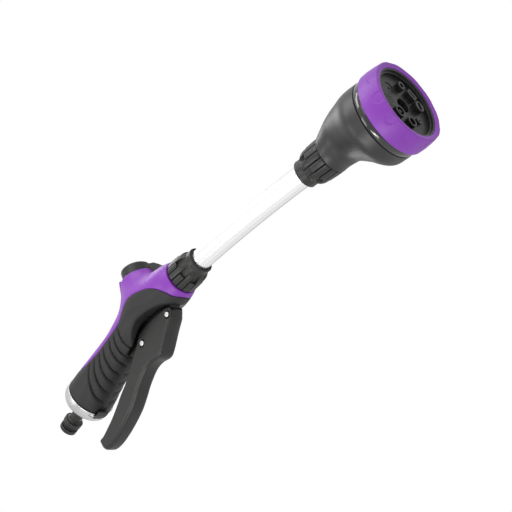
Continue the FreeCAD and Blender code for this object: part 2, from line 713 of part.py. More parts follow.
# valve body: tongue that carries the trigger, barrel, outlet and inlet lug ------------
outlet_length = dim.spigot_start - dim.spool_x
yoke_room_x0, yoke_room_x1 = dim.link_x - 4.6, dim.spool_x + 6.6
valve = new_body("valve")
valve_outside(valve)
extrude_along(valve, "outlet", (0, dim.lance_z, dim.spigot_inner_r), dim.spool_x,
              outlet_length)
extrude(valve, "yoke_room", [(yoke_room_x0, 5.6), (yoke_room_x1, 5.6), (yoke_room_x1, 25.0),
                             (yoke_room_x0, 25.0)], 8.0, pocket=True)
extrude(valve, "link_slot", [(dim.link_x - 3.3, dim.link_z - 3.2),
                             (dim.link_x + 3.3, dim.link_z - 3.2),
                             (dim.link_x + 3.3, dim.link_z + 11.2),
                             (dim.link_x - 3.3, dim.link_z + 11.2)], 30, pocket=True)
extrude(valve, "yoke_mouth", [(yoke_room_x0, 0), (yoke_room_x1, 0), (yoke_room_x1, 7.0),
                              (yoke_room_x0, 7.0)], 8.0, pocket=True)
# upright bores: radius, bottom, top
for name, radius, bottom, top in (
        ("rod_bore", dim.rod_r + dim.run_clear, 20.0, as_dim(36.0)),
        ("rod_seal_groove", 4.5, 27.6, as_dim(30.0)),
        ("chamber", dim.chamber_r, CHAMBER_FLOOR, dim.barrel_top + 1)):
    extrude_up(valve, name, (dim.spool_x, 0, radius), bottom, top - bottom,
               pocket=True, reverse=True)
extrude_along(valve, "outlet_bore", (0, dim.lance_z, dim.outlet_bore_r), dim.spool_x,
              outlet_length + 1, pocket=True, reverse=True)
extrude(valve, "pivot_bore", (dim.pivot_x, dim.pivot_z, dim.pin_r), 40, pocket=True)

LUG_BORE_R = 3.4
lug = turned("inlet_lug", [(112.2, 0), (112.2, dim.duct_r), (147.0, dim.duct_r), (147.0, 0)],
             handle_frame)
lug_bore = turned("inlet_lug_bore", [(111.0, 0), (111.0, LUG_BORE_R), (152.0, LUG_BORE_R),
                                     (152.0, 0)], handle_frame)
chamber_core = new_body("chamber_core")
extrude_up(chamber_core, "core", (dim.spool_x, 0, dim.chamber_r), CHAMBER_FLOOR,
           dim.barrel_top - CHAMBER_FLOOR)
lug_clear = cut("lug_clear", lug, chamber_core)
valve_with_lug = fuse("valve_with_lug", valve, lug_clear)
finish("valve_body", cut("valve_done", valve_with_lug, lug_bore))

# water duct from the hose plug to the valve
turned_part("water_duct", [(57.2, dim.duct_bore_r), (57.2, dim.duct_r - 0.1),
                           (111.9, dim.duct_r - 0.1), (111.9, dim.duct_bore_r)],
            handle_frame)

# threaded spigot the lance plugs into -------------------------------------------------
THREAD_START, THREAD_PITCH, THREAD_TURNS = 204.0, 1.9, 7
thread_root = dim.spigot_r - 0.9
thread_crest = dim.spigot_r - 0.1
socket_r = dim.tube_r + 0.1
socket_floor = dim.lance_x - dim.tube_in - 0.3
spigot_profile = [(dim.spigot_start, dim.outlet_bore_r), (dim.spigot_start, dim.spigot_r - 0.05),
                  (203.6, dim.spigot_r - 0.05)]
for turn in range(THREAD_TURNS):
    x = THREAD_START + turn * THREAD_PITCH
    spigot_profile += [(x, thread_root), (x + 0.5, thread_root), (x + 1.0, thread_crest),
                       (x + 1.4, thread_crest)]
spigot_profile += [(217.4, thread_root), (217.4, socket_r), (socket_floor, socket_r),
                   (socket_floor, dim.outlet_bore_r)]
turned_part("lance_spigot", spigot_profile, at(0, dim.lance_z))

# valve plunger: rod and poppet, joined to the yoke block with the link slot -----------
plunger_rod = turned("plunger", [
    (16.5, 0), (16.5, dim.rod_r), (35.6, dim.rod_r), (35.6, dim.poppet_r),
    (38.0, dim.poppet_r), (38.0, 2.2), (46.0, 2.2), (46.0, 0)], valve_frame)
yoke = new_body("yoke")
extrude(yoke, "block", [
    (dim.link_x - 4.2, 6.2), (dim.spool_x + 4.6, 6.2), (dim.spool_x + 4.6, 10),
    (dim.spool_x + 3.4, 13.4), (dim.spool_x + 3.0, 17.0), (dim.spool_x - 3.0, 17.0),
    (dim.link_x - 4.2, 16.4)], 7.4)
slot_bottom = dim.link_z - dim.pin_r - 0.05
slot_top = dim.link_z + dim.pin_r + 0.05
extrude(yoke, "slot", [(dim.link_x - 3.0, slot_bottom), (dim.link_x + 3.0, slot_bottom),
                       (dim.link_x + 3.0, slot_top), (dim.link_x - 3.0, slot_top)],
        20, pocket=True)
finish("valve_plunger", fuse("plunger_join", plunger_rod, yoke))

RING_WIRE_R = 0.88      # wire radius of the rod's and the stem's O-rings
turned_part("rod_o_ring", (28.8, dim.rod_r + 0.92, RING_WIRE_R), valve_frame)
turned_part("poppet_washer", [(38.1, 2.3), (38.1, dim.poppet_r), (39.9, dim.poppet_r),
                              (39.9, 2.3)], valve_frame)

# gland: closes the chamber and seals the flow control's stem
turned_part("stem_gland", [
    (52.0, dim.stem_r + 0.05), (52.0, dim.chamber_r - 0.05), (58.0, dim.chamber_r - 0.05),
    (58.0, dim.gland_r - 0.05), (65.6, dim.gland_r - 0.05), (65.6, dim.stem_r + 1.9),
    (62.4, dim.stem_r + 1.9), (62.4, dim.stem_r + 0.05)], valve_frame)
turned_part("stem_o_ring", (63.9, dim.stem_r + 0.96, RING_WIRE_R), valve_frame)

SPRING_BOTTOM, SPRING_TOP = 40.5, 51.4
coil_spring("return_spring", pitch=2.3, height=SPRING_TOP - SPRING_BOTTOM, coil_r=4.9,
            wire_r=0.5, placement=at(dim.spool_x, SPRING_BOTTOM))

# flow control: round hub with a thumb tab towards the lance, on its stem --------------
STEM_BOTTOM, KNOB_TURN = 54.0, 14
KNOB_TAB = [(8, 75.0), (8, 79.6), (17, 79.2), (23.5, 76.6), (28.0, 72.4), (30.4, 68.6),
            (30.0, 66.2), (27, 65.4), (18.4, 65.6), (17.6, 75.0)]
knob = new_body("knob")
revolve(knob, [
    (0, dim.knob_bottom),
    (dim.knob_r - 0.8, dim.knob_bottom),
    (dim.knob_r, dim.knob_bottom + 0.8),
    (dim.knob_r, dim.knob_top - 1.4),
    (dim.knob_r - 0.4, dim.knob_top - 0.4),
    (dim.knob_r - 1.3, dim.knob_top),
    (dim.knob_r - 3.4, dim.knob_top),
    (dim.knob_r - 4.4, dim.knob_top - 1.3),
    (0, dim.knob_top - 1.3)], name="hub", axis="V_Axis")
extrude(knob, "tab", KNOB_TAB, 11)
extrude_up(knob, "stem", (0, 0, dim.stem_r), STEM_BOTTOM, dim.knob_bottom - STEM_BOTTOM)
finish("flow_control_knob", knob,
       Placement(Vector(dim.knob_x.value, 0, 0), Rotation(Vector(0, 0, 1), KNOB_TURN)))

# trigger: side outlines (x, z) --------------------------------------------------------
# the edge under the fingers, from the pivot to the tail
TRIGGER_LOWER = [
    (186.5, 19.9), (184.7, 15.3), (181.5, 10.7), (170.1, 2.3), (159.8, -4.8), (156.4, -7.2),
    (152.5, -8.2), (144.3, -8.0), (137.9, -9.0), (131.1, -11.7), (120.2, -18.4),
    (110.7, -25.5), (99.7, -32.5), (85.6, -39.2), (73.9, -44.0), (63.0, -47.2),
    (54.9, -47.6), (50.4, -44.8), (48.5, -39.8)]
# the edge facing the handle, from the tail back to the pivot
TRIGGER_UPPER = [
    (49.6, -37.0), (54.0, -35.4), (60.5, -32.6), (72.9, -26.9), (83.9, -20.4), (93.2, -14.2),
    (103.9, -7.8), (109.4, -2.7), (122.1, 7.6), (134.9, 18.7), (140.5, 22.3), (146.8, 24.1),
    (158.2, 25.5), (170.2, 25.7), (180.1, 25.1), (184.5, 23.1)]
# the channel between the cheeks, open towards the handle
TRIGGER_CHANNEL = [
    (193.2, 32.1), (189.1, 24.1), (185.0, 19.9), (183.2, 16.0), (180.5, 12.7), (168.6, 4.9),
    (158.6, -2.0), (155.4, -4.3), (152.0, -5.4), (144.3, -5.2), (137.1, -6.2), (130.0, -8.9),
    (118.7, -15.8), (109.1, -23.1), (98.3, -30.0), (84.6, -36.5), (73.1, -41.2),
    (62.5, -44.2), (56.8, -44.2), (53.8, -41.6), (54.8, -36.2), (56.4, -31.2), (86.6, 2.0),
    (116.7, 32.1)]
trigger = new_body("trigger")
extrude(trigger, "blade", TRIGGER_LOWER + TRIGGER_UPPER, dim.trigger_half * 2)
extrude(trigger, "channel", TRIGGER_CHANNEL, (dim.web_half + dim.cheek_gap) * 2, pocket=True)
extrude(trigger, "pivot_hole", (dim.pivot_x, dim.pivot_z, dim.pin_r + dim.run_clear), 40,
        pocket=True)
extrude(trigger, "link_hole", (dim.link_x, dim.link_z, dim.pin_r), 40, pocket=True)
finish("trigger_lever", trigger)

for name, x, z in (("trigger_pivot_pin", dim.pivot_x, dim.pivot_z),
                   ("trigger_link_pin", dim.link_x, dim.link_z)):
    pin = new_body(name)
    shank = extrude(pin, "shank", (x, z, dim.pin_r), dim.trigger_half * 2 + 0.8)
    # the round end edges close on a single vertex; the seam has two
    end_edges = ["Edge%d" % (i + 1) for i, edge in enumerate(pin.Shape.Edges)
                 if len(edge.Vertexes) == 1]
    chamfer = pin.newObject("PartDesign::Chamfer", "ends")
    chamfer.Base = (shank, end_edges)
    chamfer.Size = 0.4
    doc.recompute()
    finish(name, pin)

# lock clip: hinged tongue on the base ring, with its pin and pad ----------------------
CLIP_WIDTH = 10.4
clip = new_body("clip")
extrude(clip, "knuckle", (clip_x, clip_z, 2.0), CLIP_WIDTH)
extrude(clip, "tongue", [
    (clip_x - 1.0, -23.6), (clip_x + 0.6, -24.9), (clip_x + 3.0, -25.6),
    (clip_x + 7.4, -25.8), (clip_x + 8.6, -24.9), (clip_x + 8.4, -24.3),
    (clip_x + 3.4, -24.25), (clip_x + 2.8, -23.0), (clip_x + 1.4, -21.4),
    (clip_x, -21.0)], CLIP_WIDTH)
extrude(clip, "pin_hole", (clip_x, clip_z, dim.clip_pin_r + dim.run_clear), 30, pocket=True)
finish("lock_clip", clip, handle_frame)

clip_pin = new_body("clip_pin")
extrude(clip_pin, "shank", (clip_x, clip_z, dim.clip_pin_r), 14.6)
finish("clip_pin", clip_pin, handle_frame)

clip_pad = new_body("clip_pad")
extrude(clip_pad, "pad", [(clip_x + 3.8, -24.24), (clip_x + 8.0, -24.28),
                          (clip_x + 7.8, -23.55), (clip_x + 4.1, -23.55)], 8.8)
finish("clip_pad", clip_pad, handle_frame)

# spray head: bell ---------------------------------------------------------------------
bell = new_body("bell")
loft(bell, [(station, offset, radius, radius) for station, offset, radius
            in section_dims("bell", BELL_FIELDS, BELL_STATIONS)], "bell_skin", ruled=True)
revolve(bell, [(27.0, 0), (27.0, 15.25), (37.0, 15.25), (37.0, 0)], name="neck_seat",
        groove=True)
# hollow: a widening cone on the neck's axis that opens into the room on the dial's axis
revolve(bell, [(36.9, 0), (36.9, 13.2), (46.0, 14.2), (51.0, 16.8), (56.0, 20.4),
               (61.0, 24.4), (66.0, 26.5), (66.0, 0)], name="hollow", groove=True)
room_end = dim.bell_end + 0.2
bell_room = turned("bell_room", [
    (60.0, 0), (60.0, 20.4), (66.0, 25.9), (72.0, 30.2),
    (room_end, dim.bell_mouth_r - dim.bell_wall), (room_end, 0)], at(0, -dim.head_drop))
finish("bell_housing", cut("bell_done", bell, bell_room), head_frame)

neck_start = dim.tube_out + 0.3
turned_part("head_neck", [
    (neck_start, dim.outlet_bore_r + 2.6), (neck_start, dim.thread_r - 0.3),
    (30.0, dim.thread_r - 0.3), (30.0, 15.2), (33.0, 15.2), (33.0, 12.0), (74.0, 12.0),
    (74.0, 9.4), (36.0, 9.4), (36.0, dim.outlet_bore_r + 2.6)], head_frame)

turned_part("trim_ring", [
    (dim.bell_end, 30.4), (dim.bell_end, dim.trim_r - 0.3), (dim.bell_end + 0.6, dim.trim_r),
    (dim.trim_end - 0.6, dim.trim_r), (dim.trim_end, dim.trim_r - 0.6),
    (dim.trim_end, 30.4)], head_frame.multiply(at(0, -dim.trim_drop)))

# distributor: fixed disc that feeds the chosen outlet, with the dial's centre post ----
DISC_FRONT = 88.6
distributor = new_body("distributor")
revolve(distributor, [
    (81.5, 27.0), (81.5, 29.3), (DISC_FRONT, 29.3), (DISC_FRONT, 6.5), (89.4, dim.post_r),
    (96.0, dim.post_r), (96.0, 1.6), (84.6, 1.6), (84.6, 27.0)])
extrude_along(distributor, "port", (0, -dim.outlet_pcr, 4.0), 90, 8, pocket=True)
extrude_along(distributor, "seal_seat", (0, -dim.outlet_pcr, 6.3), DISC_FRONT, 1.0,
              pocket=True)
extrude_along(distributor, "detent_well", (0, dim.detent_pcr, 1.6), DISC_FRONT, 3.4,
              pocket=True)
finish("distributor", distributor, dial_frame)

port_seal = new_body("port_seal")
extrude_along(port_seal, "ring", (0, -dim.outlet_pcr, 6.2, 4.2), 87.7, 6.7)
finish("port_seal", port_seal, dial_frame)

# detent: sprung ball above the dial axis
detent_ball = new_body("detent_ball")
ball = detent_ball.newObject("PartDesign::AdditiveSphere", "ball")
ball.Radius = 1.5
doc.recompute()
finish("detent_ball", detent_ball, dial_frame.multiply(at(93.7, dim.detent_pcr)))
coil_spring("detent_spring", pitch=1.3, height=5.2, coil_r=1.05, wire_r=0.22,
            placement=dial_frame.multiply(Placement(Vector(86.2, 0, dim.detent_pcr.value),
                                                    Rotation(Vector(0, 1, 0), 90))))

turned_part("dial_washer", [(96.06, 1.7), (96.06, 5.2), (96.7, 5.2), (96.7, 1.7)],
            dial_frame)

# dial screw with a cross slot
SLOT_REACH, SLOT_HALF = 2.0, 0.35
screw = new_body("screw")
revolve(screw, [(86.0, 0), (86.0, 1.1), (86.6, 1.55), (96.75, 1.55), (96.75, 3.5),
                (98.2, 3.3), (98.8, 2.6), (98.8, 0)])
for name, half_y, half_z in (("slot_a", SLOT_REACH, SLOT_HALF),
                             ("slot_b", SLOT_HALF, SLOT_REACH)):
    extrude_along(screw, name, [(-half_y, -half_z), (half_y, -half_z), (half_y, half_z),
                                (-half_y, half_z)], 98.9, 1.2, pocket=True)
finish("dial_screw", screw, dial_frame)

# pattern dial: ring with scallops around its front half -------------------------------
dial = new_body("dial")
revolve(dial, [
    (dim.dial_back, 33.6),
    (dim.dial_back, dim.dial_r_back - 0.7),
    (dim.dial_back + 0.9, dim.dial_r_back),
    (dim.dial_back + 6, dim.dial_r_mid),
    (dim.dial_back + 13, dim.dial_r_mid - 0.5),
    (dim.dial_front - 0.5, dim.dial_r_front),
    (dim.dial_front, dim.dial_r_front - 0.5),
    (dim.dial_front - 0.8, dim.dial_open_r + 0.3),
    (dim.dial_front - 1.1, dim.dial_open_r),
    (dim.dial_back + 3.6, dim.dial_open_r),
    (dim.dial_back + 3.6, dim.dial_skirt_r),
    (dim.dial_back + 0.8, dim.dial_skirt_r),
    (dim.dial_back + 0.8, 33.6)])
scallop_y = dim.dial_r_mid + dim.scallop_r - dim.scallop_depth - 1.1
scallop = extrude_along(dial, "scallop", (scallop_y, 0, dim.scallop_r),
                        dim.dial_front + 0.1, 8.5, pocket=True)
polar(dial, scallop, dim.scallops, "scallops")
finish("pattern_dial", dial, dial_frame)

# face plate with its outlets ----------------------------------------------------------
# where each outlet sits on the pitch circle: degrees from +Y towards +Z
JET, FLAT, FAN, FINE = 82, 41, 4, -47
FLOOD, CONE, ROSE, SOAKER = -92, -140, 173, 127
TOOL_LEAD = 8.2         # outlet pockets start this far in front of the plate
THROUGH = 16
plate = new_body("plate")
rim_r = dim.dial_open_r - 0.06
revolve(plate, [
    (dim.plate_back, dim.post_r + dim.run_clear),
    (dim.plate_back, rim_r),
    (dim.dial_front - 1.3, rim_r),
    (dim.dial_front - 1.7, dim.dial_open_r - 1.3),
    (dim.plate_front + 2.5, dim.dial_open_r - 1.6),
    (dim.plate_front + 2.3, dim.dial_open_r - 2.6),
    (dim.plate_front, dim.dial_open_r - 2.8),
    (dim.plate_front, 6.2),
    (96.0, 5.6),
    (96.0, dim.post_r + dim.run_clear)])


def seat(angle):
    """Centre (y, z) of the outlet at this angle."""
    radius = dim.outlet_pcr.value
    return radius * math.cos(math.radians(angle)), radius * math.sin(math.radians(angle))


def seat_block(angle, half_along, half_radial):
    """Rectangle on an outlet's seat, its first side along the pitch circle."""
    y, z = seat(angle)
    cos, sin = math.cos(math.radians(angle + 90)), math.sin(math.radians(angle + 90))
    corners = ((-half_along, -half_radial), (half_along, -half_radial),
               (half_along, half_radial), (-half_along, half_radial))
    return [(y + a * cos - r * sin, z + a * sin + r * cos) for a, r in corners]


def raise_outlet(name, shape, height):
    extrude_along(plate, name, shape, dim.plate_front - 0.2, height)


def cut_outlet(name, shape, depth=THROUGH):
    extrude_along(plate, name, shape, dim.plate_front + TOOL_LEAD, depth, pocket=True)


raise_outlet("jet_tube", (*seat(JET), 3.5), 4.0)
cut_outlet("jet_bore", (*seat(JET), 1.9))
raise_outlet("flat_block", seat_block(FLAT, 4.6, 2.9), 3.9)
cut_outlet("flat_slot", seat_block(FLAT, 3.4, 0.8))
raise_outlet("fan_tube", (*seat(FAN), 4.6), 4.2)
cut_outlet("fan_slot", seat_block(FAN, 3.2, 1.5))
raise_outlet("fine_tube", (*seat(FINE), 2.7), 2.4)
cut_outlet("fine_bore", (*seat(FINE), 0.9))
raise_outlet("flood_tube", (*seat(FLOOD), 4.4), 3.2)
cut_outlet("flood_bore", (*seat(FLOOD), 3.1))
raise_outlet("cone_tube", (*seat(CONE), 4.9), 3.8)
cut_outlet("cone_bore", (*seat(CONE), 3.5))
cut_outlet("rose_seat", (*seat(ROSE), 6.5), TOOL_LEAD + 1.3)
cut_outlet("rose_feed", (*seat(ROSE), 5.0))
cut_outlet("soaker_ring", (*seat(SOAKER), 5.0), TOOL_LEAD + 0.5)
cut_outlet("soaker_feed", (*seat(SOAKER), 1.0))
# the detent ball's track in the back face, with a dimple for each outlet
revolve(plate, [
    (dim.plate_back - 0.5, dim.detent_pcr - 1.7), (dim.plate_back - 0.5, dim.detent_pcr + 1.7),
    (dim.plate_back + 0.8, dim.detent_pcr + 1.2), (dim.plate_back + 0.8, dim.detent_pcr - 1.2)],
    name="track", groove=True)
dimple = extrude_along(plate, "dimple", (0, dim.detent_pcr, 1.5), dim.plate_back, 1.2,
                       pocket=True, reverse=True)
polar(plate, dimple, 8, "dimples")
finish("face_plate", plate, dial_frame)

# rose insert: disc with a centre hole and two rings of holes --------------------------
ROSE_RINGS = [(0, 1), (2.1, 6), (4.2, 12)]      # ring radius, number of holes
ROSE_HOLE_R = 0.5
rose = new_body("rose")
rose_y, rose_z = seat(ROSE)
extrude_along(rose, "disc", (rose_y, rose_z, 6.45), dim.plate_front - 1.25, 1.4)
hole_number = 0
for ring_r, count in ROSE_RINGS:
    for i in range(count):
        angle = 2 * math.pi * i / count
        hole_number += 1
        extrude_along(rose, "hole%d" % hole_number,
                      (rose_y + ring_r * math.cos(angle), rose_z + ring_r * math.sin(angle),
                       ROSE_HOLE_R), dim.plate_front + 1, 4, pocket=True)
finish("rose_insert", rose, dial_frame)

# cone insert: pin on a bar across the outlet
cone = new_body("cone")
cone_y, cone_z = seat(CONE)
cone_start = dim.plate_front - 2.4
extrude_along(cone, "pin", (cone_y, cone_z, 1.5), cone_start, 5.4)
extrude_along(cone, "spider", [(cone_y - 3.45, cone_z - 0.5), (cone_y + 3.45, cone_z - 0.5),
                               (cone_y + 3.45, cone_z + 0.5), (cone_y - 3.45, cone_z + 0.5)],
              cone_start, 1.6)
finish("cone_insert", cone, dial_frame)

# check and export ---------------------------------------------------------------------
doc.recompute()
for obj in doc.Objects:
    if "Invalid" in obj.State or "Error" in obj.State:
        raise RuntimeError(obj.Name + " " + str(obj.State))
for name, obj in nodes.items():
    if obj.Shape.isNull() or not obj.Shape.isValid():
        raise RuntimeError(name + ": shape is null or not valid")
os.makedirs("parts", exist_ok=True)
for name, obj in nodes.items():
    obj.Shape.exportStep("parts/%s.step" % name)
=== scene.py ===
"""Watering lance: a trigger handle, two collar nuts and a spray head with a pattern dial.

The lance runs along +X with its spray head at the high end, Z is up and the object is
symmetric across Y. The handle drops towards its base ring at the low X end. Lengths are
millimetres until make_object turns them into metres; lights and camera use metres.
"""
import json
import math
from functools import reduce

import bmesh
import bpy
import numpy as np
from mathutils import Matrix, Vector
from mathutils.bvhtree import BVHTree


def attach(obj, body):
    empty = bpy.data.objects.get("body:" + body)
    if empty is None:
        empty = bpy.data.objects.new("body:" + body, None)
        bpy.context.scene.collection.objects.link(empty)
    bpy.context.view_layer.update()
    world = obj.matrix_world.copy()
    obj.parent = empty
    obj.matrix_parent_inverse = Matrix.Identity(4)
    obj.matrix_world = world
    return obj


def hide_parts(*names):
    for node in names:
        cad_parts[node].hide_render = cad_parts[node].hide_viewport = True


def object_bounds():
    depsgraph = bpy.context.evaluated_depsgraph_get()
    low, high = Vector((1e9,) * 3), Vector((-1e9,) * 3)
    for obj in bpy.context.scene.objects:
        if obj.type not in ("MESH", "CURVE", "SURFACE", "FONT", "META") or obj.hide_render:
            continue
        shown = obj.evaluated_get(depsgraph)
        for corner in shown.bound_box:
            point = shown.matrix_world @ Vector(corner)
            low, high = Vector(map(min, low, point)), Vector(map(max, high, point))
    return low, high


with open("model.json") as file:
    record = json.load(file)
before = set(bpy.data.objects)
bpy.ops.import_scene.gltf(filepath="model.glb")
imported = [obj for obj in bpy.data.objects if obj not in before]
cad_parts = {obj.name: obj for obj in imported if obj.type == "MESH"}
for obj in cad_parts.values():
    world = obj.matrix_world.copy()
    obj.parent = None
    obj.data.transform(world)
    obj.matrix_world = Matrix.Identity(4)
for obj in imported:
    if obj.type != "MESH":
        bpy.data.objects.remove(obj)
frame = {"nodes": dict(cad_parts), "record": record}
cad_lo, cad_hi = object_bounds()

MM = 0.001


# ---------------------------------------------------------------- materials
def lin(*display):
    """8-bit display colour to linear."""
    out = []
    for value in display:
        value = value / 255.0
        out.append(value / 12.92 if value <= 0.04045 else ((value + 0.055) / 1.055) ** 2.4)
    return tuple(out) + (1.0,)


def node_tools(tree):
    """Empties a node tree; gives functions that add a node and link two sockets."""
    tree.nodes.clear()

    def add(kind, inputs=None, **settings):
        """Each input is a value to set or a socket to link from."""
        node = tree.nodes.new(kind)
        for key, value in settings.items():
            setattr(node, key, value)
        for key, value in (inputs or {}).items():
            if isinstance(value, bpy.types.NodeSocket):
                tree.links.new(value, node.inputs[key])
            else:
                node.inputs[key].default_value = value
        return node

    return add, tree.links.new


def moulded(name, colour, rough, grain, bump, vary, rough_vary=0.08, metal=0.0, coat=0.0,
            spec=0.5, soft=0.35, drift=38.0, edge=None, painted_edge_highlight=0.0, painted_shade=0.0, stretch=None,
            coords="Object"):
    """Moulded, coated or drawn surface.

    grain and drift are the scales of the fine and slow noise; vary and rough_vary are their
    swing in colour and roughness. soft is the edge rounding in mm. edge is the colour of a
    painted highlight along edges and the amount after it sets how strongly it shows; the
    painted shade amount darkens grooves and pockets with painted shade.
    """
    material = bpy.data.materials.new(name)
    material.use_nodes = True
    add, link = node_tools(material.node_tree)

    def remap(source, from_min, from_max, to_min, to_max):
        node = add("ShaderNodeMapRange", {
            "Value": source, "From Min": from_min, "From Max": from_max,
            "To Min": to_min, "To Max": to_max})
        return node.outputs[0]

    output = add("ShaderNodeOutputMaterial")
    bsdf = add("ShaderNodeBsdfPrincipled", {"Metallic": metal, "Specular IOR Level": spec})
    link(bsdf.outputs[0], output.inputs[0])
    if coat:
        bsdf.inputs["Coat Weight"].default_value = coat
        bsdf.inputs["Coat Roughness"].default_value = 0.08

    texture = add("ShaderNodeTexCoord")
    mapping = add("ShaderNodeMapping", {"Vector": texture.outputs[coords]})
    if stretch:
        mapping.inputs["Scale"].default_value = stretch
    slow = add("ShaderNodeTexNoise",
               {"Scale": drift, "Detail": 3.0, "Vector": mapping.outputs[0]})
    fine = add("ShaderNodeTexNoise", {
        "Scale": grain, "Detail": 2.0, "Roughness": 0.6, "Vector": mapping.outputs[0]})

    # colour
    value = remap(slow.outputs["Fac"], 0.3, 0.7, 1.0 - vary, 1.0 + vary)
    drifted = add("ShaderNodeHueSaturation", {"Color": colour, "Value": value})
    shade = drifted.outputs["Color"]
    if soft:
        bevel = add("ShaderNodeBevel", {"Radius": soft * MM}, samples=6)
    if edge:
        # painted highlight: near an edge, where the rounded normal leaves the true one, the
        # colour is lifted towards the edge colour
        geometry = add("ShaderNodeNewGeometry")
        dot = add("ShaderNodeVectorMath",
                  {0: bevel.outputs[0], 1: geometry.outputs["Normal"]}, operation="DOT_PRODUCT")
        painted_highlight_mask = remap(dot.outputs["Value"], 0.995, 0.90, 0.0, painted_edge_highlight)
        blend = add("ShaderNodeMix", {"Factor": painted_highlight_mask, "A": shade, "B": edge}, data_type="RGBA")
        shade = blend.outputs["Result"]
    if painted_shade:
        # painted shade: ambient occlusion darkens the colour and the specular in grooves and
        # pockets
        occlusion = add("ShaderNodeAmbientOcclusion", {"Distance": 0.0045}, samples=8)
        shade_multiplier = remap(occlusion.outputs["AO"], 0.25, 0.85, 1.0 - painted_shade, 1.0)
        blend = add("ShaderNodeMix", {"Factor": 1.0, "A": shade, "B": shade_multiplier},
                    data_type="RGBA", blend_type="MULTIPLY")
        shade = blend.outputs["Result"]
        specular = add("ShaderNodeMath", {0: shade_multiplier, 1: spec}, operation="MULTIPLY")
        link(specular.outputs[0], bsdf.inputs["Specular IOR Level"])
    link(shade, bsdf.inputs["Base Color"])

    # roughness follows the average of both noises
    average = add("ShaderNodeMath", operation="ADD")
    for i, noise in enumerate((slow, fine)):
        half = add("ShaderNodeMath", {0: noise.outputs["Fac"], 1: 0.5}, operation="MULTIPLY")
        link(half.outputs[0], average.inputs[i])
    link(remap(average.outputs[0], 0.3, 0.7, max(0.02, rough - rough_vary), rough + rough_vary),
         bsdf.inputs["Roughness"])

    relief = add("ShaderNodeBump",
                 {"Strength": bump, "Distance": 0.0002, "Height": fine.outputs["Fac"]})
    if soft:
        link(bevel.outputs[0], relief.inputs["Normal"])
    link(relief.outputs[0], bsdf.inputs["Normal"])
    return material


# the edge colours below are painted highlights along edges; the grip rubber and black plastic
# also get painted shade in their grooves
MATERIALS = {
    "purple_plastic": moulded(
        "purple_moulded", lin(120, 42, 160), rough=0.42, grain=1500, bump=0.06, vary=0.04,
        rough_vary=0.05, edge=lin(160, 100, 200), painted_edge_highlight=0.3),
    "black_rubber": moulded(
        "grip_rubber", lin(28, 27, 27), rough=0.55, grain=2400, bump=0.22, vary=0.10,
        rough_vary=0.06, edge=lin(64, 62, 61), painted_edge_highlight=0.2, spec=0.42, painted_shade=0.8),
    "black_plastic": moulded(
        "black_moulded", lin(26, 25, 24), rough=0.38, grain=1700, bump=0.10, vary=0.12,
        rough_vary=0.07, edge=lin(92, 91, 89), painted_edge_highlight=0.5, spec=0.45, painted_shade=0.8),
    "bell_black": moulded(
        "bell_moulded", lin(32, 31, 31), rough=0.38, grain=2000, bump=0.06, vary=0.06,
        rough_vary=0.05, edge=lin(70, 69, 68), painted_edge_highlight=0.2),
    "gloss_black": moulded(
        "black_polished", lin(16, 16, 15), rough=0.10, grain=900, bump=0.02, vary=0.10,
        rough_vary=0.03, coat=0.6, soft=0.25),
    # the colour noise follows the surface normal, so its grey bands along the tube are partly
    # drawn streaks and partly a painted reflection
    "lance_aluminium": moulded(
        "drawn_aluminium", lin(243, 243, 244), rough=0.26, grain=40, bump=0.02, vary=0.09,
        rough_vary=0.06, metal=1.0, stretch=(0.05, 1.0, 1.0), drift=3.2, coords="Normal"),
    "bright_trim": moulded(
        "bright_plated", lin(206, 206, 208), rough=0.26, grain=900, bump=0.03, vary=0.04,
        rough_vary=0.05, metal=1.0),
    "steel_pin": moulded(
        "pin_steel", lin(232, 231, 229), rough=0.3, grain=2600, bump=0.06, vary=0.06, metal=1.0),
    "spring_steel": moulded(
        "spring_wire", lin(170, 170, 172), rough=0.3, grain=2600, bump=0.1, vary=0.1,
        metal=1.0, soft=0),
    "seal_rubber": moulded(
        "seal_moulded", lin(22, 22, 22), rough=0.6, grain=2200, bump=0.2, vary=0.1, soft=0.2),
    "dark_steel": moulded(
        "blackened_steel", lin(26, 26, 26), rough=0.45, grain=2200, bump=0.1, vary=0.1,
        metal=0.6, soft=0.2),
    "white_plastic": moulded(
        "natural_moulded", lin(222, 221, 216), rough=0.45, grain=1500, bump=0.08, vary=0.04),
}
NODE_SLOTS = {part["node"]: part["material_slot"] for part in frame["record"]["subparts"]}

for node_name, cad_piece in frame["nodes"].items():
    cad_piece.data.materials.clear()
    cad_piece.data.materials.append(MATERIALS[NODE_SLOTS[node_name]])

# ---------------------------------------------------------------- frames
HANDLE_TILT = math.radians(13.7)
LANCE_START = (227.0, 0.0, 42.7)
# the lance bends down along an arc; the head sits at the end of it
BEND_RADIUS = 1499.0
BEND = 136.1 / BEND_RADIUS
DIAL_DROP = 3.8


def frame_matrix(origin, x_axis, z_axis):
    """4x4 frame from its origin, X and Z axes; Y stays across the object."""
    matrix = np.eye(4)
    matrix[:3, 0], matrix[:3, 1], matrix[:3, 2] = x_axis, (0, 1, 0), z_axis
    matrix[:3, 3] = origin
    return matrix


HEAD_ORIGIN = np.array((LANCE_START[0] + BEND_RADIUS * math.sin(BEND), 0,
                        LANCE_START[2] - BEND_RADIUS * (1 - math.cos(BEND))))
HEAD_X = np.array((math.cos(BEND), 0, -math.sin(BEND)))
HEAD_Z = np.array((math.sin(BEND), 0, math.cos(BEND)))

